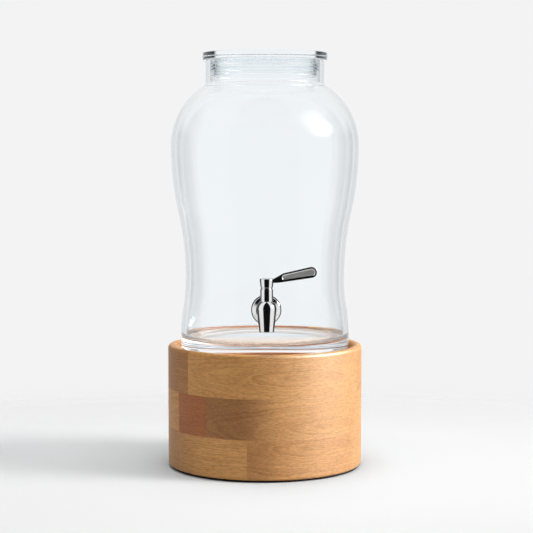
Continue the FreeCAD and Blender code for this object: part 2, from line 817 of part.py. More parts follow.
def arm():
    body = new_body("arm_body")
    nose = (
        "lever_reach + {0} * cos(tip_middle_slope)",
        "tip_height + {0} * sin(tip_middle_slope)",
    )
    top, bottom = "lever_top_slope", "lever_bottom_slope"
    tip = "lever_tip_radius"
    outline = [
        ("tenon_end", "lever_root"),
        ("hub_radius", "lever_root"),
        ("bottom_bend_reach", edge_height(bottom, -1, tip, "bottom_bend_reach")),
        tip_point(bottom, -1, tip),
        (nose[0].format(tip), nose[1].format(tip), tip, "left"),
        (*tip_point(top, 1, tip), tip, "left"),
        ("top_bend_reach", edge_height(top, 1, tip, "top_bend_reach")),
        ("hub_radius", "hub_top"),
        ("tenon_end", "hub_top"),
    ]
    inner = "panel_tip_radius"
    panel_top = edge_height(top, 1, inner, "panel_start")
    panel_bottom = edge_height(bottom, -1, inner, "panel_start")
    half_height = f"(({panel_top}) - ({panel_bottom})) / 2"
    panel = [
        ("panel_start", panel_top),
        (f"panel_start - {half_height}", f"(({panel_top}) + ({panel_bottom})) / 2", half_height, "left"),
        ("panel_start", panel_bottom, half_height, "left"),
        tip_point(bottom, -1, inner),
        (nose[0].format(inner), nose[1].format(inner), inner, "left"),
        (*tip_point(top, 1, inner), inner, "left"),
    ]
    core = new_sketch(body, "arm_core")
    draw(core, *outline)
    raised(body, core, "lever_thickness - 2 * panel_depth", midplane=True)
    frame = new_sketch(body, "arm_frame")
    draw(frame, *outline)
    draw(frame, *panel)
    raised(body, frame, "lever_thickness", midplane=True)
    piece(on_barrel(body), "lever_arm")


def hub_screw():
    body = new_body("screw_body")
    sketch = new_sketch(body, "screw_outline")
    draw(
        sketch,
        ("0", "screw_foot + thread_play"),
        ("screw_radius", "screw_foot + thread_play"),
        ("screw_radius", "screw_neck"),
        ("screw_head_radius", "hub_top"),
        ("0", "hub_top"),
    )
    turned(body, sketch)
    slot = new_sketch(body, "screw_slot")
    draw(
        slot,
        ("-screw_head_radius", "hub_top - screw_slot_depth"),
        ("screw_head_radius", "hub_top - screw_slot_depth"),
        ("screw_head_radius", "hub_top + screw_slot_depth"),
        ("-screw_head_radius", "hub_top + screw_slot_depth"),
    )
    raised(body, slot, "screw_slot_width", kind="Pocket", midplane=True)
    piece(on_barrel(body), "hub_screw")


stand()
outer_form, inner_form = jar_forms()
jar(outer_form, inner_form)
lid()
tap_body()
tap_clamping(outer_form, inner_form)
valve()
hub()
arm()
hub_screw()
document.recompute()

for item in document.Objects:
    if "Invalid" in item.State or "Error" in item.State:
        raise RuntimeError(f"{item.Label} failed: {item.State}")
for item in pieces:
    if item.Shape.isNull() or not item.Shape.isValid():
        raise RuntimeError(f"{item.Label} has no valid shape")

os.makedirs("parts", exist_ok=True)
for item in pieces:
    item.Shape.exportStep(f"parts/{item.Label}.step")
    solids = len(item.Shape.Solids)
    print(f"{item.Label}: {solids} solid, {item.Shape.Volume / 1000:.2f} cm3")
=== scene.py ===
import bmesh
import bpy
import json
import math
import random
from functools import partial
from mathutils import Matrix, Vector


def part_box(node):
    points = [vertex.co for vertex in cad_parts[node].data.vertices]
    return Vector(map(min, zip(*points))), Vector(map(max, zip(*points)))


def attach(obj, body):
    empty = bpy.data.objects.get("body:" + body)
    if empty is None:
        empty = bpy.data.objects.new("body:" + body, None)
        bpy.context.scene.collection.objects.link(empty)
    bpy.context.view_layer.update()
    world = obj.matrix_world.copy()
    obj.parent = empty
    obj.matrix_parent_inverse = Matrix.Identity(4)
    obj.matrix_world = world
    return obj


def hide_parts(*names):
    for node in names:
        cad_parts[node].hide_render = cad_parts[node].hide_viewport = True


# A clear glass dispenser jar with a glass lid and a polished lever tap, on a round stand of glued
# hardwood staves. Metres; the jar's axis is Z and the tap faces -Y, towards the camera.

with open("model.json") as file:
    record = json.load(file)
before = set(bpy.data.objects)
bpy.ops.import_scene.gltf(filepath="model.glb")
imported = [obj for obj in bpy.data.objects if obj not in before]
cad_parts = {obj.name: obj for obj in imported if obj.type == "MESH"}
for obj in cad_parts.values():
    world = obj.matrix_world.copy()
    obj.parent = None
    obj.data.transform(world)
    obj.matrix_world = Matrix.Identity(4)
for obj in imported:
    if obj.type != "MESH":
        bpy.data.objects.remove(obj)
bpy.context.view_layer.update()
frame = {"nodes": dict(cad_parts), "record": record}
scene = bpy.context.scene
scene.view_settings.view_transform = "Standard"
random.seed(7)

MM = 0.001
# Points that lie closer than this are one point
SAME_POINT = 0.001 * MM
# The side of an outline that an arc's centre lies on
LEFT, RIGHT = 1, -1

# Levels and axes that the solids give
foot_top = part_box("foot_ring")[1].z
lower_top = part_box("lower_stave_1")[1].z
middle_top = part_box("middle_stave_1")[1].z
rim_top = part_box("upper_stave_1")[1].z
shelf_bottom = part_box("shelf_panel")[0].z
jar_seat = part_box("glass_jar")[0].z
lid_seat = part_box("glass_jar")[1].z
barrel_y = (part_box("gland_collar")[0].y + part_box("gland_collar")[1].y) / 2
shank_level = (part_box("lock_nut")[0].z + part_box("lock_nut")[1].z) / 2
collar_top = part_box("gland_collar")[1].z - shank_level
hub_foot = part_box("lever_hub")[0].z - shank_level
hub_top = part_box("lever_hub")[1].z - shank_level

# Distances from the jar's axis to the back and the front of what the shank carries
shank_end = -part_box("tap_body")[1].y
nut_back, nut_front = -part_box("lock_nut")[1].y, -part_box("lock_nut")[0].y
washer_back, washer_front = -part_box("clamp_washer")[1].y, -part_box("clamp_washer")[0].y
flange_back, flange_front = -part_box("tap_escutcheon")[1].y, -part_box("tap_escutcheon")[0].y

# Stand
RECESS_PLAY = 4.7 * MM
RIM_WIDTH = 9.0 * MM
RIM_ROUND = 3.5 * MM
BASE_ROUND = 2.5 * MM
EASED_EDGE = 0.3 * MM
LEDGE_WIDTH = 9.0 * MM
SHELF_PLAY = 0.2 * MM
STAVE_STEP = math.radians(1.5)

# Jar, heights from its underside
JAR_FOOT_RADIUS = 89.3 * MM
JAR_FOOT_HEIGHT = 19.0 * MM
HEEL_ROUND = 8.0 * MM
PUNT_RISE = 5.0 * MM
STANDING_RING = 10.0 * MM
WAIST_DRAW = 5.1 * MM
WAIST_HEIGHT = 79.5 * MM
BELLY_SWELL = 15.3 * MM
SHOULDER_ROUND = 74.0 * MM
NECK_DRAW = 36.8 * MM
NECK_FILLET = 5.0 * MM
NECK_HEIGHT = 22.2 * MM
MOUTH_ROUND = 1.2 * MM
JAR_WALL = 4.5 * MM
JAR_FLOOR = 16.5 * MM
INNER_HEEL_ROUND = 6.0 * MM
HOLE_RADIUS = 8.6 * MM

# Lid and seal, heights from the mouth
LID_OVERHANG = 3.5 * MM
LID_THICKNESS = 8.2 * MM
LID_ROUND = 0.9 * MM
LID_SKIRT = 2.6 * MM
PLUG_DEPTH = 16.5 * MM
PLUG_PLAY = 2.6 * MM
PLUG_ROUND = 1.0 * MM
SEAL_GROOVE = 0.8 * MM
SEAL_DROP = 3.0 * MM
SEAL_SLEEVE = 1.2 * MM
SEAL_PLAY = 0.25 * MM
RIB_HEIGHT = 1.4 * MM
RIB_PITCH = 3.4 * MM
RIB_COUNT = 3

# Tap, heights from the shank's axis
SPOUT_DROP = 19.5 * MM
LIP_RADIUS = 7.5 * MM
LIP_ROUND = 0.5 * MM
SPOUT_BORE = 5.6 * MM
SPOUT_BORE_TOP = -8.5 * MM
BULB_RADIUS = 9.9 * MM
BULB_RISE = 2.5 * MM
DOME_HEIGHT = 8.5 * MM
DOME_ROUND = 10.0 * MM
BARREL_RADIUS = 6.4 * MM
BARREL_HEIGHT = 12.2 * MM
CHAMBER_RADIUS = 5.2 * MM
TAP_NECK_RADIUS = 8.6 * MM
TAP_NECK_FLARE = 0.8 * MM
WATERWAY_RADIUS = 4.2 * MM
NOTCH_FLOOR = 15.5 * MM
NOTCH_MARGIN = math.radians(11)
LEVER_SWING = math.radians(90)
STEM_RADIUS = 3.4 * MM
STEM_PLAY = 0.08 * MM
SPIGOT_DEPTH = 3.2 * MM
SPIGOT_RADIUS = 5.14 * MM
COLLAR_RADIUS = 5.7 * MM
METAL_EDGE = 0.25 * MM
OVERCUT = 1.0 * MM

# Clamping of the tap in the jar's wall
SHANK_RADIUS = 7.9 * MM
SHANK_BORE_PLAY = 0.06 * MM
THREAD_PITCH = 1.5 * MM
THREAD_DEPTH = 0.75 * MM
FLANGE_RADIUS = 14.5 * MM
FLANGE_EDGE = 0.3 * MM
FLANGE_ROUND = 1.2 * MM
FLANGE_SLOPE = math.radians(24)
WASHER_RADIUS = 12.0 * MM
NUT_FLATS = 22.0 * MM
NUT_CHAMFER = 0.8 * MM

# Lever
HUB_FOOT_RADIUS = 6.2 * MM
HUB_RADIUS = 7.0 * MM
HUB_ROUND = 0.6 * MM
HUB_ROOF = 2.4 * MM
SOCKET_HALF = 2.45 * MM
FIT_PLAY = 0.05 * MM
SCREW_RADIUS = 1.56 * MM
SCREW_HEAD_RADIUS = 2.76 * MM
SCREW_HEAD_HEIGHT = 1.4 * MM
LEVER_THICKNESS = 3.0 * MM
LEVER_ROOT_HEIGHT = 4.3 * MM
LEVER_EDGE_ROUND = 0.35 * MM
TENON_DEPTH = 3.1 * MM
LEVER_REACH = 44.4 * MM
LEVER_RISE = 6.2 * MM
TIP_RADIUS = 5.45 * MM
TOP_SLOPE = math.radians(12.9)
BOTTOM_SLOPE = math.radians(8.4)
TOP_BEND = 9.5 * MM
BOTTOM_BEND = 5.1 * MM
PANEL_BORDER = 2.0 * MM
PANEL_INSET = 10.9 * MM
PANEL_DEPTH = 0.4 * MM
PANEL_BEVEL = 0.6 * MM

jar_height = lid_seat - jar_seat
recess_radius = JAR_FOOT_RADIUS + RECESS_PLAY
stand_radius = recess_radius + RIM_WIDTH
hollow_radius = recess_radius - LEDGE_WIDTH
waist_radius = JAR_FOOT_RADIUS - WAIST_DRAW
belly_radius = waist_radius + BELLY_SWELL
neck_radius = belly_radius - NECK_DRAW
mouth_radius = neck_radius - JAR_WALL
plug_radius = mouth_radius - PLUG_PLAY
groove_radius = plug_radius - SEAL_GROOVE
seal_height = RIB_PITCH * (RIB_COUNT - 1) + RIB_HEIGHT
seal_foot = -(SEAL_DROP + seal_height)
barrel_reach = -barrel_y
barrel_foot = BULB_RISE + DOME_HEIGHT
barrel_top = barrel_foot + BARREL_HEIGHT
shank_bore = SHANK_RADIUS + SHANK_BORE_PLAY
lever_root = hub_top - LEVER_ROOT_HEIGHT
tenon_end = HUB_RADIUS - TENON_DEPTH


# Mesh making

def bend(first, last, radius, side):
    """Points after first along the arc to last that curves to the given side."""
    first, last = Vector(first), Vector(last)
    chord = last - first
    across = Vector((-chord.y, chord.x)).normalized() * side
    rise = math.sqrt(max(radius**2 - (chord.length / 2) ** 2, 0))
    centre = first + chord / 2 + across * rise
    sweep = 2 * math.asin(min(chord.length / 2 / radius, 1)) * side
    fewest, widest_turn, longest_run = 3, math.radians(7), 3 * MM
    count = max(
        fewest,
        math.ceil(abs(sweep) / widest_turn),
        math.ceil(abs(sweep) * radius / longest_run),
    )
    spoke = first - centre
    points = []
    for step in range(1, count + 1):
        points.append(centre + Matrix.Rotation(sweep * step / count, 2) @ spoke)
    return points


def outline(*steps):
    """Points of an outline. A step is (x, y) for a straight run, or (x, y, radius, side) for an arc.
    A long straight run gets a point near each end, which keeps its shading flat."""
    points = [Vector(steps[0])]
    support = 0.3 * MM
    long_run = 8 * support
    for step in steps[1:]:
        if len(step) == 4:
            points += bend(points[-1], step[:2], step[2], step[3])
            continue
        first, last = points[-1], Vector(step)
        run = last - first
        if run.length > long_run:
            points.append(first + run.normalized() * support)
            points.append(last - run.normalized() * support)
        points.append(last)
    return points


def new_mesh(name, verts, faces):
    mesh = bpy.data.meshes.new(name)
    mesh.from_pydata([tuple(vert) for vert in verts], [], faces)
    mesh.update()
    return mesh


def loop(points):
    """The points without a last one that only repeats the first, and whether they close."""
    closed = (points[0] - points[-1]).length < SAME_POINT
    return (points[:-1] if closed else points), closed


def turned(name, points, steps=96):
    """A mesh turned about Z from (radius, height) points that run outwards and then up."""
    points, closed = loop(points)
    verts, rings = [], []
    for radius, height in points:
        count = 1 if radius < SAME_POINT else steps
        rings.append([len(verts) + index for index in range(count)])
        for index in range(count):
            turn = 2 * math.pi * index / steps
            verts.append((radius * math.cos(turn), radius * math.sin(turn), height))
    faces = []
    for lower, upper in zip(rings, rings[1:] + (rings[:1] if closed else [])):
        if len(lower) + len(upper) == 2:
            continue
        for index in range(steps):
            after = (index + 1) % steps
            corners = (
                lower[index % len(lower)],
                lower[after % len(lower)],
                upper[after % len(upper)],
                upper[index % len(upper)],
            )
            faces.append(list(dict.fromkeys(corners)))
    return new_mesh(name, verts, faces)


def bar(name, radius, low, high):
    """A plain round bar, turned about Z."""
    return turned(name, outline((0, low), (radius, low), (radius, high), (0, high)))


def flat_ring(name, bore, radius, low, high, ease=METAL_EDGE):
    """A ring with eased edges, turned about Z. Its upper outer edge is eased as on any metal piece."""
    return turned(name, outline(
        (bore, high - ease),
        (bore, low + ease),
        (bore + ease, low, ease, LEFT),
        (radius - ease, low),
        (radius, low + ease, ease, LEFT),
        (radius, high - METAL_EDGE),
        (radius - METAL_EDGE, high, METAL_EDGE, LEFT),
        (bore + ease, high),
        (bore, high - ease, ease, LEFT),
    ))


def prism(name, points, low, high, high_points=None):
    """A block of the given outline in X and Y between two heights. A second outline makes it taper."""
    points, _ = loop(points)
    high_points, _ = loop(high_points or points)
    count = len(points)
    verts = [(x, y, low) for x, y in points] + [(x, y, high) for x, y in high_points]
    faces = [list(range(count - 1, -1, -1)), list(range(count, 2 * count))]
    for index in range(count):
        after = (index + 1) % count
        faces.append([index, after, after + count, index + count])
    return new_mesh(name, verts, faces)


def lying(mesh):
    """Lays a mesh that was turned about Z along the shank, its heights out from the jar's axis."""
    mesh.transform(Matrix.Translation((0, 0, shank_level)) @ Matrix.Rotation(math.pi / 2, 4, "X"))
    return mesh


def upright(mesh):
    """Stands a mesh that was turned about Z on the barrel's axis, its zero at the shank's axis."""
    mesh.transform(Matrix.Translation((0, barrel_y, shank_level)))
    return mesh


def on_edge(mesh):
    """Stands a flat block on its edge on the barrel's axis, so that its Y is up."""
    mesh.transform(Matrix.Rotation(math.pi / 2, 4, "X"))
    return upright(mesh)


def as_object(mesh):
    item = bpy.data.objects.new(mesh.name, mesh)
    scene.collection.objects.link(item)
    return item


def settled(item):
    """The object's mesh with its modifiers made plain, and the object gone."""
    depsgraph = bpy.context.evaluated_depsgraph_get()
    mesh = bpy.data.meshes.new_from_object(item.evaluated_get(depsgraph))
    name = item.name
    bpy.data.meshes.remove(item.data)
    mesh.name = name
    return mesh


def welded(mesh):
    """The mesh with points that lie on one another made one."""
    bm = bmesh.new()
    bm.from_mesh(mesh)
    bmesh.ops.remove_doubles(bm, verts=bm.verts, dist=SAME_POINT)
    bm.to_mesh(mesh)
    bm.free()
    return mesh


def joined(mesh, tool, operation):
    """A mesh after a cut, union or overlap with another."""
    item, other = as_object(mesh), as_object(tool)
    modifier = item.modifiers.new("join", "BOOLEAN")
    modifier.operation = operation
    modifier.object = other
    modifier.solver = "EXACT"
    result = welded(settled(item))
    bpy.data.meshes.remove(other.data)
    return result


def round_edges(item, width, segments, degrees):
    """Rounds the edges of an object that are sharper than this angle."""
    bevel = item.modifiers.new("rounded_edges", "BEVEL")
    bevel.width = width
    bevel.segments = segments
    bevel.limit_method = "ANGLE"
    bevel.angle_limit = math.radians(degrees)
    return bevel


def piece(mesh, body, material, node, smooth=35, eased=0.0):
    """A finished piece that rides a body and stands for a node of the solid model."""
    welded(mesh)
    mesh.shade_smooth()
    mesh.set_sharp_from_angle(angle=math.radians(smooth))
    mesh.materials.clear()
    mesh.materials.append(material)
    item = as_object(mesh)
    if eased:
        bevel = round_edges(item, eased, segments=2, degrees=smooth)
        bevel.harden_normals = True
    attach(item, body)
    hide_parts(node)
    return item


# Nodes

def linear(hex_colour):
    """An sRGB hex colour as linear RGBA."""
    channels = [int(hex_colour[index:index + 2], 16) / 255 for index in (1, 3, 5)]
    curve = [c / 12.92 if c <= 0.04045 else ((c + 0.055) / 1.055) ** 2.4 for c in channels]
    return (*curve, 1.0)


def add_node(tree, kind, inputs=(), stops=(), **settings):
    """Adds a node with its settings, and fills or links its sockets. A node that is given for a socket
    is linked from the first of its outputs in use. The first two stops of a ramp are its ends."""
    node = tree.nodes.new(kind)
    for name, value in settings.items():
        setattr(node, name, value)
    for key, value in dict(inputs).items():
        if isinstance(value, bpy.types.Node):
            value = next(socket for socket in value.outputs if socket.enabled)
        if isinstance(value, bpy.types.NodeSocket):
            tree.links.new(value, node.inputs[key])
        else:
            node.inputs[key].default_value = value
    for index, (place, colour) in enumerate(stops):
        elements = node.color_ramp.elements
        element = elements[index] if index < 2 else elements.new(place)
        element.position = place
        element.color = linear(colour)
    return node


def empty(tree):
    """Clears a tree, and gives the function that adds nodes to it."""
    tree.nodes.clear()
    return partial(add_node, tree)


def new_material(name):
    material = bpy.data.materials.new(name)
    material.use_nodes = True
    return material, empty(material.node_tree)


def surface(add, shader):
    add("ShaderNodeOutputMaterial", {"Surface": shader})


# Materials

def clear_surface(add, matter, tint):
    """Ends the tree of a clear material. Light from the lamps goes straight through it, and so do the
    rays that have been thrown to and fro inside it too often to be followed."""
    most_mirrorings, longest_path = 2.5, 9.5
    rays = add("ShaderNodeLightPath").outputs
    thrown = add(
        "ShaderNodeMath", {0: rays["Glossy Depth"], 1: most_mirrorings}, operation="GREATER_THAN"
    )
    long = add("ShaderNodeMath", {0: rays["Ray Depth"], 1: longest_path}, operation="GREATER_THAN")
    lost = add("ShaderNodeMath", {0: thrown, 1: long}, operation="MAXIMUM")
    straight = add("ShaderNodeMath", {0: lost, 1: rays["Is Shadow Ray"]}, operation="MAXIMUM")
    clear = add("ShaderNodeBsdfTransparent", {"Color": linear(tint)})
    surface(add, add("ShaderNodeMixShader", {0: straight, 1: matter, 2: clear}))


def pressed_glass():
    """Clear soda-lime glass, pressed and fire polished: colourless and sharp, with a faint slow ripple
    that bends what is behind it, and a trace of blue in its depth."""
    material, add = new_material("pressed_soda_lime_glass")
    place = add("ShaderNodeTexCoord").outputs["Object"]
    ripple_width = 38 * MM
    ripple = add("ShaderNodeTexNoise", {"Vector": place, "Scale": 1 / ripple_width, "Detail": 1.0})
    bump = add("ShaderNodeBump", {"Height": ripple, "Strength": 0.25, "Distance": 0.4 * MM})
    glass = add("ShaderNodeBsdfPrincipled", {
        "Base Color": linear("#fdfefe"),
        "Roughness": 0.0,
        "IOR": 1.52,
        "Specular Tint": linear("#989898"),
        "Transmission Weight": 1.0,
        "Normal": bump,
    })
    clear_surface(add, glass, "#f4f7fa")
    return material


def clear_silicone():
    """Clear moulded silicone: colourless and a little soft. It lies wet against the glass, so that its
    edges are faint."""
    material, add = new_material("clear_moulded_silicone")
    place = add("ShaderNodeTexCoord").outputs["Object"]
    grit_width = 2 * MM
    grit = add("ShaderNodeTexNoise", {"Vector": place, "Scale": 1 / grit_width, "Detail": 2.0})
    rough = add("ShaderNodeMapRange", {"Value": grit, "To Min": 0.02, "To Max": 0.06})
    rubber = add("ShaderNodeBsdfPrincipled", {
        "Base Color": linear("#fdfefe"),
        "Roughness": rough,
        "IOR": 1.16,
        "Transmission Weight": 1.0,
    })
    clear_surface(add, rubber, "#fafcfc")
    return material


def polished_steel():
    """Stainless steel, cast and mirror polished: crisp dark and light reflections, softened a little by
    fine buffing marks. Where it turns away from the eye its colour is painted dark, a painted
    reflection that stands in for black screens round it."""
    material, add = new_material("mirror_polished_stainless")
    place = add("ShaderNodeTexCoord").outputs["Object"]
    buff_width = 0.9 * MM
    marks = add("ShaderNodeTexNoise", {"Vector": place, "Scale": 1 / buff_width, "Detail": 3.0})
    rough = add(
        "ShaderNodeMapRange",
        {"Value": marks, "From Min": 0.3, "From Max": 0.7, "To Min": 0.05, "To Max": 0.11},
    )
    # Painted reflection: the colour goes from pale steel to near black as the surface turns from the eye
    painted_dark_edge_facing = add("ShaderNodeLayerWeight", {"Blend": 0.5}).outputs["Facing"]
    away = add("ShaderNodeMapRange", {"Value": painted_dark_edge_facing, "From Min": 0.36, "From Max": 0.47})
    colour = add(
        "ShaderNodeMix",
        {"Factor": away, "A": linear("#ecebe9"), "B": linear("#2c2c2e")},
        data_type="RGBA",
    )
    steel = {"Base Color": colour, "Metallic": 1.0, "Roughness": rough}
    surface(add, add("ShaderNodeBsdfPrincipled", steel))
    return material


def marked(add, place, scale, spread, rough, strength, depth):
    """What fine marks give a surface: an uneven gloss, and dents of this depth."""
    marks = add("ShaderNodeTexNoise", {"Vector": place, "Scale": scale, "Detail": 2.0})
    gloss = add("ShaderNodeMapRange", {
        "Value": marks,
        "From Min": spread[0],
        "From Max": spread[1],
        "To Min": rough[0],
        "To Max": rough[1],
    })
    dents = add("ShaderNodeBump", {"Height": marks, "Strength": strength, "Distance": depth})
    return {"Roughness": gloss, "Normal": dents}


def satin_steel():
    """Stainless steel brushed along the lever: an even soft grey, drawn out in fine lines."""
    material, add = new_material("satin_brushed_stainless")
    # Real brush lines are under 0.1 mm wide. These are drawn wider, so that they show.
    line_size = (14 * MM, 0.35 * MM, 0.35 * MM)
    along = add("ShaderNodeMapping", {
        "Vector": add("ShaderNodeTexCoord").outputs["Object"],
        "Rotation": (0, (TOP_SLOPE + BOTTOM_SLOPE) / 2, 0),
        "Scale": [1 / size for size in line_size],
    })
    lines = marked(add, along, 1.0, (0.3, 0.7), rough=(0.44, 0.6), strength=0.25, depth=0.04 * MM)
    steel = {"Base Color": linear("#f0efec"), "Metallic": 1.0, **lines}
    surface(add, add("ShaderNodeBsdfPrincipled", steel))
    return material


def turned_steel():
    """Stainless steel as it comes off the lathe or the punch: grey, with fine tool marks."""
    material, add = new_material("turned_stainless")
    place = add("ShaderNodeTexCoord").outputs["Object"]
    pitch = 0.5 * MM
    lines = marked(
        add, place, 1 / pitch, (0.3, 0.7), rough=(0.22, 0.36), strength=0.15, depth=0.05 * MM
    )
    steel = {"Base Color": linear("#c9c8c5"), "Metallic": 1.0, **lines}
    surface(add, add("ShaderNodeBsdfPrincipled", steel))
    return material


def moulded(name, colour, roughness, grain):
    """A rubber or plastic: an even colour under a fine matt grain."""
    material, add = new_material(name)
    place = add("ShaderNodeTexCoord").outputs["Object"]
    rough = (0.7 * roughness, 1.3 * roughness)
    grit = marked(add, place, 1 / grain, (0.0, 1.0), rough, strength=0.2, depth=0.1 * MM)
    surface(add, add("ShaderNodeBsdfPrincipled", {"Base Color": linear(colour), **grit}))
    return material


def oiled_hardwood(name, pale, dark):
    """Plain hardwood, sanded and oiled: fine growth rings that open into long ovals, soft streaks of
    fibre, short open pores along the grain, cloudy patches, and a browner end on some staves, which is
    partly heartwood and partly painted shade on the side turned from the key lamp. The oil leaves a
    broad low gloss. What it throws on to the paper beside it is a pale grey, so that the sheet stays
    white."""
    material, add = new_material(name)
    board = add("ShaderNodeAttribute", attribute_name="board").outputs["Vector"]
    along = add("ShaderNodeSeparateXYZ", {0: board}).outputs["X"]

    def cloud(length, width, detail):
        scale = (1 / length, 1 / width, 1 / width)
        place = add("ShaderNodeVectorMath", {0: board, 1: scale}, operation="MULTIPLY")
        return add("ShaderNodeTexNoise", {"Vector": place, "Scale": 1.0, "Detail": detail})

    # Distance from the pith, which wanders as the tree grew
    across = add("ShaderNodeVectorMath", {0: board, 1: (0, 1, 1)}, operation="MULTIPLY")
    radius = add("ShaderNodeVectorMath", {0: across}, operation="LENGTH")
    wander = cloud(45 * MM, 14 * MM, 2.0)
    wander_width = 9 * MM
    age = add("ShaderNodeMath", {0: wander, 1: wander_width, 2: radius}, operation="MULTIPLY_ADD")
    ring_length, ring_width, ring_share = 140 * MM, 1.5 * MM, 0.7
    run = add("ShaderNodeMath", {0: along, 1: 1 / ring_length}, operation="MULTIPLY")
    count = add("ShaderNodeMath", {0: age, 1: 1 / ring_width}, operation="MULTIPLY")
    growth = add("ShaderNodeCombineXYZ", {"X": run, "Y": count})
    rings = add("ShaderNodeTexNoise", {"Vector": growth, "Scale": 1.0, "Detail": 1.0})

    fibre = cloud(24 * MM, 0.8 * MM, 3.0)
    figure = add("ShaderNodeMath", {0: rings, 1: ring_share, 2: fibre}, operation="MULTIPLY_ADD")
    patches, patch_share = cloud(45 * MM, 22 * MM, 1.0), 0.35
    shade = add("ShaderNodeMath", {0: patches, 1: patch_share, 2: figure}, operation="MULTIPLY_ADD")
    plain = add("ShaderNodeMapRange", {"Value": shade, "From Min": 0.72, "From Max": 1.3})
    colour = add(
        "ShaderNodeMix", {"Factor": plain, "A": linear(dark), "B": linear(pale)}, data_type="RGBA"
    )
    # Painted shade in part: the heartwood stain darkens the front staves towards their left ends
    heart_and_shade_share = add("ShaderNodeAttribute", attribute_name="heart_and_shade").outputs["Fac"]
    # Real pores are about 0.2 mm wide. These are drawn wider, so that they show.
    pores = cloud(9 * MM, 0.55 * MM, 1.0)
    open_pore = add(
        "ShaderNodeMapRange", {"Value": pores, "From Min": 0.55, "From Max": 0.72, "To Max": 0.45}
    )
    # The first stain is heartwood that also paints shade on the left ends; the second darkens open pores
    for share, stain in ((heart_and_shade_share, "#a9917c"), (open_pore, "#8a6a50")):
        colour = add(
            "ShaderNodeMix", {"Factor": share, "A": colour, "B": linear(stain)},
            data_type="RGBA", blend_type="MULTIPLY",
        )
    rough = add("ShaderNodeMapRange", {"Value": fibre, "To Min": 0.48, "To Max": 0.62})
    bump = add(
        "ShaderNodeBump", {"Height": open_pore, "Strength": 0.35, "Distance": 0.12 * MM}, invert=True
    )
    wood = add("ShaderNodeBsdfPrincipled", {
        "Base Color": colour,
        "Roughness": rough,
        "IOR": 1.48,
        "Specular IOR Level": 0.4,
        "Coat Weight": 0.3,
        "Coat Roughness": 0.4,
        "Normal": bump,
    })
    thrown = add("ShaderNodeBsdfDiffuse", {"Color": linear("#b4aea7")})
    diffuse = add("ShaderNodeLightPath").outputs["Is Diffuse Ray"]
    surface(add, add("ShaderNodeMixShader", {0: diffuse, 1: wood, 2: thrown}))
    return material


GLASS = pressed_glass()
POLISHED = polished_steel()
TURNED = turned_steel()
SILICONE = clear_silicone()
PTFE = moulded("turned_white_ptfe", "#e8e7e2", roughness=0.45, grain=1.5 * MM)
NITRILE = moulded("moulded_black_nitrile", "#17171a", roughness=0.5, grain=1.5 * MM)
FOAM_RUBBER = moulded("black_foam_rubber", "#121213", roughness=0.85, grain=1.2 * MM)
SATIN = satin_steel()
WOODS = {
    "wood_honey": oiled_hardwood("oiled_hardwood_honey", "#e4a55d", "#b77834"),
    "wood_tan": oiled_hardwood("oiled_hardwood_tan", "#e7ab62", "#be803c"),
    "wood_russet": oiled_hardwood("oiled_hardwood_russet", "#cf7c3c", "#a25a26"),
    # The shelf is painted lighter than its shaded place in the recess: partly painted light, whitening
    # the jar's floor above it
    "wood_shelf": oiled_hardwood("oiled_hardwood_shelf", "#e8cdb6", "#d8b69b"),
}


# Stand

def new_tree(name, inputs):
    """A tree of geometry nodes with named inputs, the function that adds nodes to it, and the sockets
    that the inputs come in by."""
    tree = bpy.data.node_groups.new(name, "GeometryNodeTree")
    for label, kind in inputs.items():
        tree.interface.new_socket(name=label, in_out="INPUT", socket_type=f"NodeSocket{kind}")
    tree.interface.new_socket(name="Finished", in_out="OUTPUT", socket_type="NodeSocketGeometry")
    add = empty(tree)
    return tree, add, add("NodeGroupInput").outputs


def end_tree(add, geometry, material):
    real = add("GeometryNodeRealizeInstances", {"Geometry": geometry})
    dressed = add("GeometryNodeSetMaterial", {"Geometry": real, "Material": material})
    add("NodeGroupOutput", {"Finished": dressed})


def stave_tree():
    """Bends a straight board round the stand: the section is swept along a line, and each point is
    then turned about the axis by its share of the sweep."""
    tree, add, given = new_tree("bent_stave", {
        "Section": "Geometry",
        "Joint Angle": "Float",
        "Sweep Angle": "Float",
        "Rings": "Int",
        "Material": "Material",
    })
    line = add("GeometryNodeCurvePrimitiveLine", {"End": (1.0, 0.0, 0.0)})
    steps = add("GeometryNodeResampleCurve", {"Curve": line, "Count": given["Rings"]})
    section = add("GeometryNodeMeshToCurve", {"Mesh": given["Section"]})
    board = add(
        "GeometryNodeCurveToMesh", {"Curve": steps, "Profile Curve": section, "Fill Caps": True}
    )
    straight = add("ShaderNodeSeparateXYZ", {0: add("GeometryNodeInputPosition")}).outputs
    angle = add(
        "ShaderNodeMath",
        {0: straight["X"], 1: given["Sweep Angle"], 2: given["Joint Angle"]},
        operation="MULTIPLY_ADD",
    )
    across = add("ShaderNodeCombineXYZ", {"X": straight["Y"], "Z": straight["Z"]})
    upright = add("ShaderNodeVectorMath", {0: across, "Scale": -1.0}, operation="SCALE")
    place = add("ShaderNodeVectorRotate", {"Vector": upright, "Angle": angle}, rotation_type="Z_AXIS")
    bent = add("GeometryNodeSetPosition", {"Geometry": board, "Position": place})
    outward = add("GeometryNodeFlipFaces", {"Mesh": bent})
    end_tree(add, outward, given["Material"])
    return tree


def run_tree(tree, mesh, **values):
    """The mesh that a tree makes from the given one, with its named inputs set."""
    item = as_object(mesh)
    modifier = item.modifiers.new(tree.name, "NODES")
    modifier.node_group = tree
    for socket in tree.interface.items_tree:
        key = socket.name.lower().replace(" ", "_")
        if socket.in_out == "INPUT" and key in values:
            modifier[socket.identifier] = values[key]
    return settled(item)


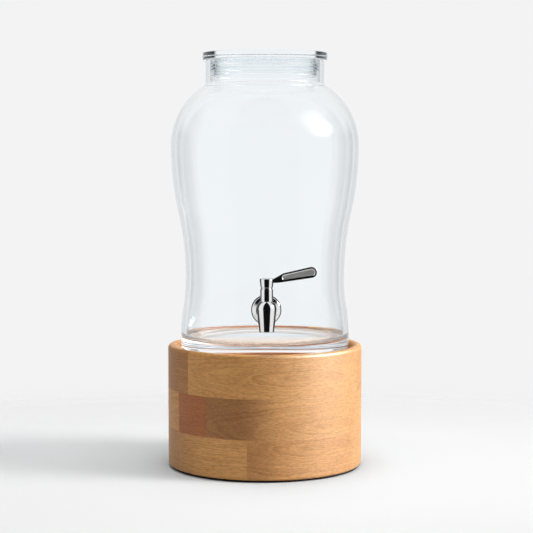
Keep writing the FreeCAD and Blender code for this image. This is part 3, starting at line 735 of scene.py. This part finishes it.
def sawn(mesh, lay):
    """Records where each point lay in its log, along the grain and across and up from the pith, and
    how far it is browned, as heartwood and as painted shade."""
    mesh.attributes.new("board", "FLOAT_VECTOR", "POINT")
    mesh.attributes.new("heart_and_shade", "FLOAT", "POINT")
    places, ages = mesh.attributes["board"].data, mesh.attributes["heart_and_shade"].data
    for vert, place, age in zip(mesh.vertices, places, ages):
        *place.vector, age.value = lay(vert.co)


def stave_section(points):
    count = len(points)
    mesh = bpy.data.meshes.new("stave_section")
    edges = [(index, (index + 1) % count) for index in range(count)]
    mesh.from_pydata([(point.x, point.y, 0) for point in points], edges, [])
    return mesh


# The bottom and top of each course and the angles of its joints, in degrees from the front
COURSES = {
    "lower": (foot_top, lower_top, (-11, 60, 165, 250)),
    "middle": (lower_top, middle_top, (-61, -37, 82, 190)),
    "upper": (middle_top, rim_top, (-51, 69, 148, 229)),
}


def course_section(course, bottom, top):
    """Half the course's cross-section as (radius, height), with its glued edges just eased."""
    ease = EASED_EDGE
    lower_round = BASE_ROUND if course == "lower" else ease
    face = [
        (hollow_radius, bottom),
        (stand_radius - lower_round, bottom),
        (stand_radius, bottom + lower_round, lower_round, LEFT),
    ]
    if course == "upper":
        return outline(
            *face,
            (stand_radius, top - RIM_ROUND),
            (stand_radius - RIM_ROUND, top, RIM_ROUND, LEFT),
            (recess_radius + RIM_ROUND, top),
            (recess_radius, top - RIM_ROUND, RIM_ROUND, LEFT),
            (recess_radius, shelf_bottom),
            (hollow_radius, shelf_bottom),
        )
    return outline(
        *face,
        (stand_radius, top - ease),
        (stand_radius - ease, top, ease, LEFT),
        (hollow_radius, top),
    )


# How the staves that face the camera were sawn: the angle at which the pith comes out of the face, its
# share of the course's height, its lean, how brown the heartwood is and between which angles it fades.
# The browning lies at the staves' left ends, turned from the key lamp, and is partly painted shade.
FIGURES = {
    "upper_stave_1": (30, 0.45, 0.14, 0.0, (0, 1)),
    "upper_stave_4": (-75, 1.6, 0.10, 0.45, (-45, 0)),
    "middle_stave_1": (-50, -0.5, 0.30, 0.25, (-30, 0)),
    "middle_stave_2": (46, 0.25, 0.17, 0.75, (-16, 12)),
    "lower_stave_1": (40, 0.75, 0.15, 0.35, (-4, 10)),
    "lower_stave_4": (-60, 2.2, 0.08, 0.35, (-66, -34)),
}


def round_angle(front_degrees):
    """An angle counted from the front as an angle from the X axis."""
    return math.radians(front_degrees - 90)


def wrapped(angle):
    return (angle + math.pi) % (2 * math.pi) - math.pi


def bent_from(pith_angle, pith_height, lean, heart_and_shade, fade):
    """The lay of a stave whose grain was bent round the stand."""

    def lay(point):
        angle = math.atan2(point.y, point.x)
        run = stand_radius * wrapped(angle - pith_angle)
        out = math.hypot(point.x, point.y) - stand_radius + lean * run
        # How much of the heartwood stain, partly painted shade, is left between the two fade angles
        share = min(max(wrapped(angle - fade[0]) / (fade[1] - fade[0]), 0.0), 1.0)
        return (run, out, point.z - pith_height, heart_and_shade * (1 - share * share * (3 - 2 * share)))

    return lay


def glued_staves():
    """The stand's three courses of staves. How a stave at the back was sawn is left to chance."""
    tree = stave_tree()
    boards = []
    slots = {part["node"]: part["material_slot"] for part in frame["record"]["subparts"]}
    for course, (bottom, top, joints) in COURSES.items():
        points = course_section(course, bottom, top)
        for index, joint in enumerate(joints):
            name = f"{course}_stave_{index + 1}"
            following = joints[index + 1] if index + 1 < len(joints) else joints[0] + 360
            start, sweep = round_angle(joint), math.radians(following - joint)
            mesh = run_tree(
                tree,
                stave_section(points),
                joint_angle=start,
                sweep_angle=sweep,
                rings=math.ceil(sweep / STAVE_STEP) + 1,
                material=WOODS[slots[name]],
            )
            mesh.name = f"{name}_wood"
            chance = (
                random.uniform(joint, following),
                random.uniform(-0.6, 1.6),
                random.uniform(0.08, 0.3),
            )
            turn, share, lean, heart_and_shade, fade = FIGURES.get(name, (*chance, 0.0, (0, 1)))
            fade_angles = [round_angle(angle) for angle in fade]
            pith_height = bottom + share * (top - bottom)
            sawn(mesh, bent_from(round_angle(turn), pith_height, lean, heart_and_shade, fade_angles))
            boards.append(piece(mesh, "stand", WOODS[slots[name]], name, eased=EASED_EDGE))
    return boards


def shelf():
    board = turned("shelf_board", outline(
        (0, shelf_bottom),
        (recess_radius - SHELF_PLAY, shelf_bottom),
        (recess_radius - SHELF_PLAY, jar_seat),
        (0, jar_seat),
    ), steps=128)
    pith_depth = 60 * MM
    sawn(board, lambda point: (point.x, point.y, point.z - shelf_bottom + pith_depth, 0.0))
    piece(board, "stand", WOODS["wood_shelf"], "shelf_panel")


# Jar and lid

def jar():
    neck_foot = jar_height - NECK_HEIGHT
    span = SHOULDER_ROUND + NECK_FILLET
    fillet_offset = span - NECK_DRAW
    fillet_rise = math.sqrt(span**2 - fillet_offset**2)
    belly_height = neck_foot - fillet_rise
    shoulder_centre = belly_radius - SHOULDER_ROUND
    ring_radius = JAR_FOOT_RADIUS - HEEL_ROUND - STANDING_RING
    punt_arc = (ring_radius**2 + PUNT_RISE**2) / (2 * PUNT_RISE)
    low_turn = (JAR_FOOT_RADIUS + waist_radius) / 2
    high_turn = (waist_radius + belly_radius) / 2
    high_arc = ((belly_height - WAIST_HEIGHT) ** 2 + BELLY_SWELL**2) / (4 * BELLY_SWELL)

    def wall(foot, inset):
        """Steps up the wall from the top of its foot to the mouth, this far in from the outside."""
        low_arc = ((WAIST_HEIGHT - foot) ** 2 + WAIST_DRAW**2) / (4 * WAIST_DRAW)
        shoulder = SHOULDER_ROUND - inset
        share = shoulder / span
        shoulder_end = (shoulder_centre + fillet_offset * share, belly_height + fillet_rise * share)
        return [
            (low_turn - inset, (foot + WAIST_HEIGHT) / 2, low_arc, LEFT),
            (waist_radius - inset, WAIST_HEIGHT, low_arc, RIGHT),
            (high_turn - inset, (WAIST_HEIGHT + belly_height) / 2, high_arc, RIGHT),
            (belly_radius - inset, belly_height, high_arc, LEFT),
            (*shoulder_end, shoulder, LEFT),
            (neck_radius - inset, neck_foot, NECK_FILLET + inset, RIGHT),
            (neck_radius - inset, jar_height - MOUTH_ROUND),
        ]

    outside = outline(
        (0, PUNT_RISE),
        (ring_radius, 0, punt_arc, RIGHT),
        (JAR_FOOT_RADIUS - HEEL_ROUND, 0),
        (JAR_FOOT_RADIUS, HEEL_ROUND, HEEL_ROUND, LEFT),
        (JAR_FOOT_RADIUS, JAR_FOOT_HEIGHT),
        *wall(JAR_FOOT_HEIGHT, 0),
        (neck_radius - MOUTH_ROUND, jar_height, MOUTH_ROUND, LEFT),
    )
    inner_foot = JAR_FLOOR + INNER_HEEL_ROUND
    inside = outline(
        (0, JAR_FLOOR),
        (JAR_FOOT_RADIUS - JAR_WALL - INNER_HEEL_ROUND, JAR_FLOOR),
        (JAR_FOOT_RADIUS - JAR_WALL, inner_foot, INNER_HEEL_ROUND, LEFT),
        *wall(inner_foot, JAR_WALL),
        (mouth_radius + MOUTH_ROUND, jar_height, MOUTH_ROUND, RIGHT),
    )
    mesh = turned("jar_glass", outside + inside[::-1], steps=256)
    mesh.transform(Matrix.Translation((0, 0, jar_seat)))
    hole = lying(bar("jar_hole", HOLE_RADIUS, 0, stand_radius))
    return piece(joined(mesh, hole, "DIFFERENCE"), "jar", GLASS, "glass_jar", smooth=50)


def lid():
    lid_radius = neck_radius + LID_OVERHANG
    skirt_radius = plug_radius - LID_SKIRT
    mesh = turned("lid_glass", outline(
        (0, 0),
        (skirt_radius - PLUG_ROUND, 0),
        (skirt_radius, -PLUG_ROUND, PLUG_ROUND, RIGHT),
        (skirt_radius, PLUG_ROUND - PLUG_DEPTH),
        (skirt_radius + PLUG_ROUND, -PLUG_DEPTH, PLUG_ROUND, LEFT),
        (plug_radius - PLUG_ROUND, -PLUG_DEPTH),
        (plug_radius, PLUG_ROUND - PLUG_DEPTH, PLUG_ROUND, LEFT),
        (plug_radius, seal_foot),
        (groove_radius, seal_foot),
        (groove_radius, -SEAL_DROP),
        (plug_radius, -SEAL_DROP),
        (plug_radius, 0),
        (lid_radius - LID_ROUND, 0),
        (lid_radius, LID_ROUND, LID_ROUND, LEFT),
        (lid_radius, LID_THICKNESS - LID_ROUND),
        (lid_radius - LID_ROUND, LID_THICKNESS, LID_ROUND, LEFT),
        (0, LID_THICKNESS),
    ), steps=256)
    mesh.transform(Matrix.Translation((0, 0, lid_seat)))
    piece(mesh, "lid", GLASS, "glass_lid")


def lid_seal():
    sleeve_radius = groove_radius + SEAL_SLEEVE
    rib_radius = mouth_radius - SEAL_PLAY
    tip = RIB_HEIGHT / 4
    nose_round = 1.5 * tip
    steps = [(groove_radius, -SEAL_DROP), (groove_radius, seal_foot)]
    for rib in range(RIB_COUNT):
        foot = seal_foot + rib * RIB_PITCH
        steps.append((sleeve_radius, foot))
        steps.append((rib_radius - tip, foot + tip))
        steps.append((rib_radius - tip, foot + RIB_HEIGHT - tip, nose_round, LEFT))
        steps.append((sleeve_radius, foot + RIB_HEIGHT))
    steps.append(steps[0])
    seal = turned("ribbed_seal", outline(*steps), steps=160)
    seal.transform(Matrix.Translation((0, 0, lid_seat)))
    piece(seal, "lid", SILICONE, "lid_seal")


# Tap

def thread_tree():
    """A rolled thread: a ridge of four-sided section wound round a core that it is joined to."""
    tree, add, given = new_tree("rolled_thread", {
        "Core": "Geometry",
        "Radius": "Float",
        "Length": "Float",
        "Turns": "Float",
        "Start": "Vector",
        "Depth": "Float",
        "Material": "Material",
    })
    spiral = add("GeometryNodeCurveSpiral", {
        "Resolution": 48,
        "Rotations": given["Turns"],
        "Start Radius": given["Radius"],
        "End Radius": given["Radius"],
        "Height": given["Length"],
    })
    level = add("GeometryNodeSetCurveNormal", {"Curve": spiral}, mode="Z_UP")
    section = add("GeometryNodeCurvePrimitiveCircle", {"Resolution": 4, "Radius": given["Depth"]})
    ridge = add(
        "GeometryNodeCurveToMesh", {"Curve": level, "Profile Curve": section, "Fill Caps": True}
    )
    raised = add("GeometryNodeTransform", {"Geometry": ridge, "Translation": given["Start"]})
    both = add("GeometryNodeJoinGeometry", {0: raised})
    tree.links.new(given["Core"], both.inputs[0])
    end_tree(add, both, given["Material"])
    return tree


def tap_casting():
    casting = upright(turned("tap_casting", outline(
        (0, -SPOUT_DROP),
        (LIP_RADIUS - LIP_ROUND, -SPOUT_DROP),
        (LIP_RADIUS, LIP_ROUND - SPOUT_DROP, LIP_ROUND, LEFT),
        (BULB_RADIUS, BULB_RISE),
        (BARREL_RADIUS, barrel_foot, DOME_ROUND, LEFT),
        (BARREL_RADIUS, barrel_top - METAL_EDGE),
        (BARREL_RADIUS - METAL_EDGE, barrel_top, METAL_EDGE, LEFT),
        (0, barrel_top),
    )))
    neck = lying(turned("tap_neck", outline(
        (0, flange_front),
        (TAP_NECK_RADIUS + TAP_NECK_FLARE, flange_front),
        (TAP_NECK_RADIUS, flange_front + TAP_NECK_FLARE, TAP_NECK_FLARE, RIGHT),
        (TAP_NECK_RADIUS, barrel_reach),
        (0, barrel_reach),
    )))
    bores = upright(turned("tap_bores", outline(
        (0, -SPOUT_DROP - OVERCUT),
        (SPOUT_BORE, -SPOUT_DROP - OVERCUT),
        (SPOUT_BORE, SPOUT_BORE_TOP),
        (CHAMBER_RADIUS, SPOUT_BORE_TOP),
        (CHAMBER_RADIUS, barrel_top + OVERCUT),
        (0, barrel_top + OVERCUT),
    )))
    waterway = lying(bar("tap_waterway", WATERWAY_RADIUS, shank_end - OVERCUT, barrel_reach))
    first, last = -NOTCH_MARGIN, LEVER_SWING + NOTCH_MARGIN
    inner, outer = STEM_RADIUS, BARREL_RADIUS + OVERCUT

    def spoke(radius, angle):
        return (radius * math.cos(angle), radius * math.sin(angle))

    notch = upright(prism("tap_notch", outline(
        spoke(inner, first),
        spoke(outer, first),
        (*spoke(outer, last), outer, LEFT),
        spoke(inner, last),
        (*spoke(inner, first), inner, RIGHT),
    ), NOTCH_FLOOR, barrel_top + OVERCUT))
    casting = joined(casting, neck, "UNION")
    for tool in (bores, waterway, notch):
        casting = joined(casting, tool, "DIFFERENCE")
    piece(casting, "jar", POLISHED, "tap_body", smooth=40)


def tap_shank():
    root = SHANK_RADIUS - THREAD_DEPTH
    thread_turns = (flange_back - shank_end - 2 * THREAD_PITCH) / THREAD_PITCH
    shank = run_tree(
        thread_tree(),
        flat_ring("tap_shank", WATERWAY_RADIUS, root, shank_end, flange_front, ease=0.4 * MM),
        radius=root,
        length=thread_turns * THREAD_PITCH,
        turns=thread_turns,
        start=(0, 0, shank_end + THREAD_PITCH),
        depth=THREAD_DEPTH,
        material=TURNED,
    )
    piece(lying(shank), "jar", TURNED, "tap_body", smooth=30)


def tap_flange():
    cone_foot_radius = FLANGE_RADIUS - FLANGE_ROUND * (1 - math.sin(FLANGE_SLOPE))
    cone_foot = flange_back + FLANGE_EDGE + FLANGE_ROUND * math.cos(FLANGE_SLOPE)
    cone_top_radius = cone_foot_radius - (flange_front - cone_foot) / math.tan(FLANGE_SLOPE)
    flange = lying(turned("tap_flange", outline(
        (shank_bore, flange_front),
        (shank_bore, flange_back),
        (FLANGE_RADIUS, flange_back),
        (FLANGE_RADIUS, flange_back + FLANGE_EDGE),
        (cone_foot_radius, cone_foot, FLANGE_ROUND, LEFT),
        (cone_top_radius, flange_front),
        (shank_bore, flange_front),
    ), steps=128))
    piece(flange, "jar", POLISHED, "tap_escutcheon")


def inner_washer():
    washer = lying(flat_ring("inner_washer", shank_bore, WASHER_RADIUS, washer_back, washer_front))
    piece(washer, "jar", TURNED, "clamp_washer")


def barrel_collar():
    collar = upright(turned("barrel_collar", outline(
        (STEM_RADIUS + STEM_PLAY, collar_top),
        (STEM_RADIUS + STEM_PLAY, barrel_top - SPIGOT_DEPTH),
        (SPIGOT_RADIUS, barrel_top - SPIGOT_DEPTH),
        (SPIGOT_RADIUS, barrel_top),
        (COLLAR_RADIUS, barrel_top),
        (COLLAR_RADIUS, collar_top - METAL_EDGE),
        (COLLAR_RADIUS - METAL_EDGE, collar_top, METAL_EDGE, LEFT),
        (STEM_RADIUS + STEM_PLAY, collar_top),
    )))
    piece(collar, "jar", POLISHED, "gland_collar")


def lock_nut():
    """A six-sided nut, its corners turned back at both faces."""
    corner = NUT_FLATS / math.sqrt(3)
    sides = 6
    corners = []
    for index in range(sides):
        turn = 2 * math.pi * index / sides
        corners.append(Vector((corner * math.cos(turn), corner * math.sin(turn))))
    blank = prism("lock_nut_hex", corners, nut_back, nut_front)
    turning = turned("nut_turning", outline(
        (shank_bore, nut_front - METAL_EDGE),
        (shank_bore, nut_back + METAL_EDGE),
        (shank_bore + METAL_EDGE, nut_back),
        (NUT_FLATS / 2 - METAL_EDGE, nut_back),
        (corner + METAL_EDGE, nut_back + NUT_CHAMFER),
        (corner + METAL_EDGE, nut_front - NUT_CHAMFER),
        (NUT_FLATS / 2 - METAL_EDGE, nut_front),
        (shank_bore + METAL_EDGE, nut_front),
        (shank_bore, nut_front - METAL_EDGE),
    ))
    nut = lying(joined(blank, turning, "INTERSECT"))
    piece(nut, "jar", TURNED, "lock_nut", smooth=25)


# Lever

def tip_point(slope, side, radius):
    """Where a straight edge of this slope meets the round tip, above or below its centre."""
    return Vector((
        LEVER_REACH - side * radius * math.sin(slope),
        hub_top + LEVER_RISE + side * radius * math.cos(slope),
    ))


def edge_point(slope, side, radius, reach):
    """The point of that straight edge at this reach from the barrel's axis."""
    end = tip_point(slope, side, radius)
    return (reach, end.y - (end.x - reach) * math.tan(slope))


def tip_round(radius):
    """Steps of an outline round the lever's tip, from its lower edge to its upper edge."""
    middle = (TOP_SLOPE + BOTTOM_SLOPE) / 2
    nose = (LEVER_REACH + radius * math.cos(middle), hub_top + LEVER_RISE + radius * math.sin(middle))
    return [
        tuple(tip_point(BOTTOM_SLOPE, -1, radius)),
        (*nose, radius, LEFT),
        (*tip_point(TOP_SLOPE, 1, radius), radius, LEFT),
    ]


def panel_outline(border):
    """Outline of the lever's sunk panel, this far in from the lever's edges."""
    inner = TIP_RADIUS - border
    start = HUB_RADIUS + PANEL_INSET
    upper = Vector(edge_point(TOP_SLOPE, 1, inner, start))
    lower = Vector(edge_point(BOTTOM_SLOPE, -1, inner, start))
    end_round = (upper - lower).length / 2
    return outline(
        upper,
        (start - end_round, (upper.y + lower.y) / 2, end_round, LEFT),
        (*lower, end_round, LEFT),
        *tip_round(inner),
        tuple(upper),
    )


def lever_hub():
    hub = upright(turned("lever_boss", outline(
        (0, hub_foot),
        (HUB_FOOT_RADIUS - METAL_EDGE, hub_foot),
        (HUB_FOOT_RADIUS, hub_foot + METAL_EDGE, METAL_EDGE, LEFT),
        (HUB_RADIUS, hub_top - HUB_ROUND),
        (HUB_RADIUS - HUB_ROUND, hub_top, HUB_ROUND, LEFT),
        (0, hub_top),
    )))
    half = SOCKET_HALF
    square = [Vector((half, half)), Vector((-half, half)), Vector((-half, -half)), Vector((half, -half))]
    socket = upright(prism("hub_socket", square, hub_foot - OVERCUT, hub_top - HUB_ROOF + FIT_PLAY))
    sink = upright(turned("screw_sink", outline(
        (0, hub_foot),
        (SCREW_RADIUS, hub_foot),
        (SCREW_RADIUS, hub_top - SCREW_HEAD_HEIGHT),
        (SCREW_HEAD_RADIUS, hub_top),
        (SCREW_HEAD_RADIUS, hub_top + OVERCUT),
        (0, hub_top + OVERCUT),
    ), steps=48))
    slot_half = LEVER_THICKNESS / 2 + FIT_PLAY
    slot = on_edge(prism("lever_slot", outline(
        (tenon_end - FIT_PLAY, lever_root - FIT_PLAY),
        (2 * HUB_RADIUS, lever_root - FIT_PLAY),
        (2 * HUB_RADIUS, hub_top + OVERCUT),
        (tenon_end - FIT_PLAY, hub_top + OVERCUT),
    ), -slot_half, slot_half))
    for tool in (socket, sink, slot):
        hub = joined(hub, tool, "DIFFERENCE")
    piece(hub, "lever", POLISHED, "lever_hub", smooth=40)


def lever_arm():
    half_thickness = LEVER_THICKNESS / 2
    plate = as_object(prism("lever_paddle", outline(
        (tenon_end, lever_root),
        (HUB_RADIUS, lever_root),
        edge_point(BOTTOM_SLOPE, -1, TIP_RADIUS, HUB_RADIUS + BOTTOM_BEND),
        *tip_round(TIP_RADIUS),
        edge_point(TOP_SLOPE, 1, TIP_RADIUS, HUB_RADIUS + TOP_BEND),
        (HUB_RADIUS, hub_top),
        (tenon_end, hub_top),
    ), -half_thickness, half_thickness))
    round_edges(plate, LEVER_EDGE_ROUND, segments=5, degrees=60)
    paddle = settled(plate)
    # The cutters flare, and come out as far above the lever's faces as the panels are sunk
    floor = half_thickness - PANEL_DEPTH
    mouth = floor + 2 * PANEL_DEPTH
    floor_outline = panel_outline(PANEL_BORDER + PANEL_BEVEL / 2)
    mouth_outline = panel_outline(PANEL_BORDER - 3 * PANEL_BEVEL / 2)
    for tool in (
        prism("front_panel", floor_outline, floor, mouth, mouth_outline),
        prism("back_panel", mouth_outline, -mouth, -floor, floor_outline),
    ):
        paddle = joined(paddle, tool, "DIFFERENCE")
    paddle = on_edge(paddle)
    piece(paddle, "lever", POLISHED, "lever_arm", smooth=20)
    paddle.materials.append(SATIN)
    square_on = 0.99
    for face in paddle.polygons:
        depth = abs(face.center.y - barrel_y)
        if abs(face.normal.y) > square_on and depth < half_thickness - PANEL_DEPTH / 2:
            face.material_index = 1


staves = glued_staves()
shelf()
jar_glass = jar()
lid()
lid_seal()
tap_casting()
tap_shank()
tap_flange()
inner_washer()
lock_nut()
barrel_collar()
lever_hub()
lever_arm()

# Solids that keep their own shape get the finish of what they are made of
FINISHES = {
    "foot_ring": FOAM_RUBBER,
    "outer_gasket": NITRILE,
    "inner_gasket": SILICONE,
    "valve_seat": PTFE,
    "plug_o_rings": NITRILE,
    "valve_plug": TURNED,
    "stop_pin": TURNED,
    "hub_screw": TURNED,
}
for node_name, finish in FINISHES.items():
    frame["nodes"][node_name].data.materials.clear()
    frame["nodes"][node_name].data.materials.append(finish)


# Studio

def studio_floor():
    """A round sheet of white paper that fades into the backdrop all round the object, soonest in front.
    Light that it throws back on to the object comes from the whole sheet."""
    reach, sides = 3.0, 96
    turns = [2 * math.pi * side / sides for side in range(sides)]
    verts = [(0, 0, 0)] + [(reach * math.cos(turn), reach * math.sin(turn), 0) for turn in turns]
    faces = [[0, 1 + side, 1 + (side + 1) % sides] for side in range(sides)]
    floor = as_object(new_mesh("studio_floor", verts, faces))
    material, add = new_material("white_paper_sweep")
    place = add("ShaderNodeTexCoord").outputs["Object"]
    depth = add("ShaderNodeSeparateXYZ", {0: place}).outputs["Y"]
    # The fade is an oval, wider than it is deep
    oval = add("ShaderNodeVectorMath", {0: place, 1: (0.7, 1, 0)}, operation="MULTIPLY")
    distance = add("ShaderNodeVectorMath", {0: oval}, operation="LENGTH")
    far = add(
        "ShaderNodeMapRange", {"Value": distance, "From Min": 0.2, "From Max": 0.62},
        interpolation_type="SMOOTHSTEP",
    )
    before = add(
        "ShaderNodeMapRange", {"Value": depth, "From Min": -0.36, "From Max": -0.46},
        interpolation_type="SMOOTHSTEP",
    )
    ended = add("ShaderNodeMath", {0: far, 1: before}, operation="MAXIMUM")
    diffuse = add("ShaderNodeLightPath").outputs["Is Diffuse Ray"]
    fade = add("ShaderNodeMath", {0: ended, 1: diffuse}, operation="SUBTRACT", use_clamp=True)
    paper = add("ShaderNodeBsdfDiffuse", {"Color": linear("#f3f3f3")})
    away = add("ShaderNodeBsdfTransparent")
    surface(add, add("ShaderNodeMixShader", {0: fade, 1: paper, 2: away}))
    floor.data.materials.append(material)


def backdrop():
    """White for the eye. Metal and glass mirror a studio that is dark behind the camera, white on both
    sides of it, grey beyond and white behind the object. Through glass the room is pale, with a dark
    flag on each side behind the object, and white high up and low down. Matt surfaces get an even dim
    light."""
    world = bpy.data.worlds.new("white_backdrop")
    scene.world = world
    world.use_nodes = True
    add = empty(world.node_tree)
    rays = add("ShaderNodeLightPath").outputs
    way = add("ShaderNodeTexCoord").outputs["Generated"]
    height = add("ShaderNodeSeparateXYZ", {0: way}).outputs["Z"]
    level = add("ShaderNodeVectorMath", {0: way, 1: (1, 1, 0)}, operation="MULTIPLY")
    heading = add("ShaderNodeVectorMath", {0: level}, operation="NORMALIZE")
    depth = add("ShaderNodeSeparateXYZ", {0: heading}).outputs["Y"]
    # 0 behind the camera, 0.5 square to the side and 1 behind the object
    round_room = add("ShaderNodeMapRange", {"Value": depth, "From Min": -1.0})
    mirrored_room = add("ShaderNodeValToRGB", {"Fac": round_room}, stops=(
        (0.0, "#101012"),
        (1.0, "#ffffff"),
        (0.125, "#101012"),
        (0.155, "#f8fafc"),
        (0.59, "#f8fafc"),
        (0.62, "#b0b2b4"),
        (0.92, "#b8babc"),
    ))
    room_through_glass = add("ShaderNodeValToRGB", {"Fac": round_room}, stops=(
        (0.0, "#f3f6f9"),
        (1.0, "#f3f6f9"),
        (0.59, "#f3f6f9"),
        (0.62, "#0c0d0f"),
        (0.865, "#0c0d0f"),
        (0.89, "#f3f6f9"),
    ))
    above = add("ShaderNodeMapRange", {"Value": height, "From Min": 0.12, "From Max": 0.3})
    below = add("ShaderNodeMapRange", {"Value": height, "From Min": -0.42, "From Max": -0.62})
    ends = add("ShaderNodeMath", {0: above, 1: below}, operation="MAXIMUM")
    open_room = add(
        "ShaderNodeMix", {"Factor": ends, "A": room_through_glass, "B": linear("#ffffff")},
        data_type="RGBA",
    )
    through, in_mirror = rays["Is Transmission Ray"], rays["Is Glossy Ray"]
    walls = add(
        "ShaderNodeMix", {"Factor": through, "A": mirrored_room, "B": open_room}, data_type="RGBA"
    )
    studio = add("ShaderNodeBackground", {"Color": walls, "Strength": 1.0})
    white = add("ShaderNodeBackground", {"Color": linear("#f3f3f3"), "Strength": 1.0})
    ambient = add("ShaderNodeBackground", {"Color": linear("#ffffff"), "Strength": 0.18})
    shown = add("ShaderNodeMath", {0: in_mirror, 1: through}, operation="MAXIMUM")
    lit = add("ShaderNodeMixShader", {0: shown, 1: ambient, 2: studio})
    seen = add("ShaderNodeMixShader", {0: rays["Is Camera Ray"], 1: lit, 2: white})
    add("ShaderNodeOutputWorld", {"Surface": seen})


def softbox(name, stand_at, aim, width, height, power):
    """A lamp behind a sheet of silk, brightest in its middle. It doesn't show through glass."""
    lamp = bpy.data.lights.new(name, "AREA")
    lamp.shape = "RECTANGLE"
    lamp.size = width
    lamp.size_y = height
    lamp.energy = power
    lamp.use_nodes = True
    add = empty(lamp.node_tree)
    middle_glow = 3.4
    place = add("ShaderNodeNewGeometry").outputs["Parametric"]
    off_middle = add("ShaderNodeVectorMath", {0: place, 1: (0.5, 0.5, 0)}, operation="DISTANCE")
    glow = add(
        "ShaderNodeMapRange",
        {"Value": off_middle, "From Min": 0.5, "From Max": 0.1, "To Max": middle_glow},
        interpolation_type="SMOOTHSTEP",
    )
    silk = add("ShaderNodeEmission", {"Strength": glow})
    add("ShaderNodeOutputLight", {"Surface": silk})
    item = bpy.data.objects.new(name, lamp)
    scene.collection.objects.link(item)
    item.location = stand_at
    item.rotation_euler = (Vector(aim) - Vector(stand_at)).to_track_quat("-Z", "Y").to_euler()
    item.visible_transmission = False
    return item


def gloss_panel(name, stand_at, aim, width, power, pieces):
    """A square panel that shows only as a gloss, and only on the given pieces."""
    panel = softbox(name, stand_at, aim, width, width, power)
    panel.visible_diffuse = False
    lit = bpy.data.collections.new(f"{name}_pieces")
    for item in pieces:
        lit.objects.link(item)
    panel.light_linking.receiver_collection = lit


def lamps():
    """A large key lamp on the right and a weak one above. Two panels give the staves and the jar's
    shoulder their broad soft gloss."""
    softbox("key_right", (3.62, -0.9, 1.78), aim=(0, 0, 0.3), width=2.8, height=1.8, power=134)
    top = softbox("top", (-0.08, -0.06, 2.0), aim=(-0.04, 0.02, 0), width=1.6, height=1.6, power=19.5)
    top.visible_glossy = False
    gloss_panel(
        "stave_gloss", (1.25, -0.33, 0.85), aim=(0, 0, 0.1), width=1.6, power=150, pieces=staves
    )
    gloss_panel(
        "shoulder_gloss", (2.43, -0.93, 1.86), aim=(0, 0, 0.36), width=2.5, power=48, pieces=[jar_glass]
    )


def camera():
    """Almost level, from the height of the jar's belly and a trace to the left, tilted a little down."""
    frame_pixels = 533
    focal_pixels = 1550
    down_tilt, right_turn = math.radians(3.97), math.radians(0.959)
    item = bpy.data.objects.new("camera", bpy.data.cameras.new("camera"))
    scene.collection.objects.link(item)
    item.data.sensor_width = 36.0
    item.data.lens = focal_pixels / frame_pixels * item.data.sensor_width
    item.location = (-0.0258, -1.6448, 0.326)
    item.rotation_euler = (math.pi / 2 - down_tilt, 0, -right_turn)
    scene.camera = item


studio_floor()
backdrop()
lamps()
camera()
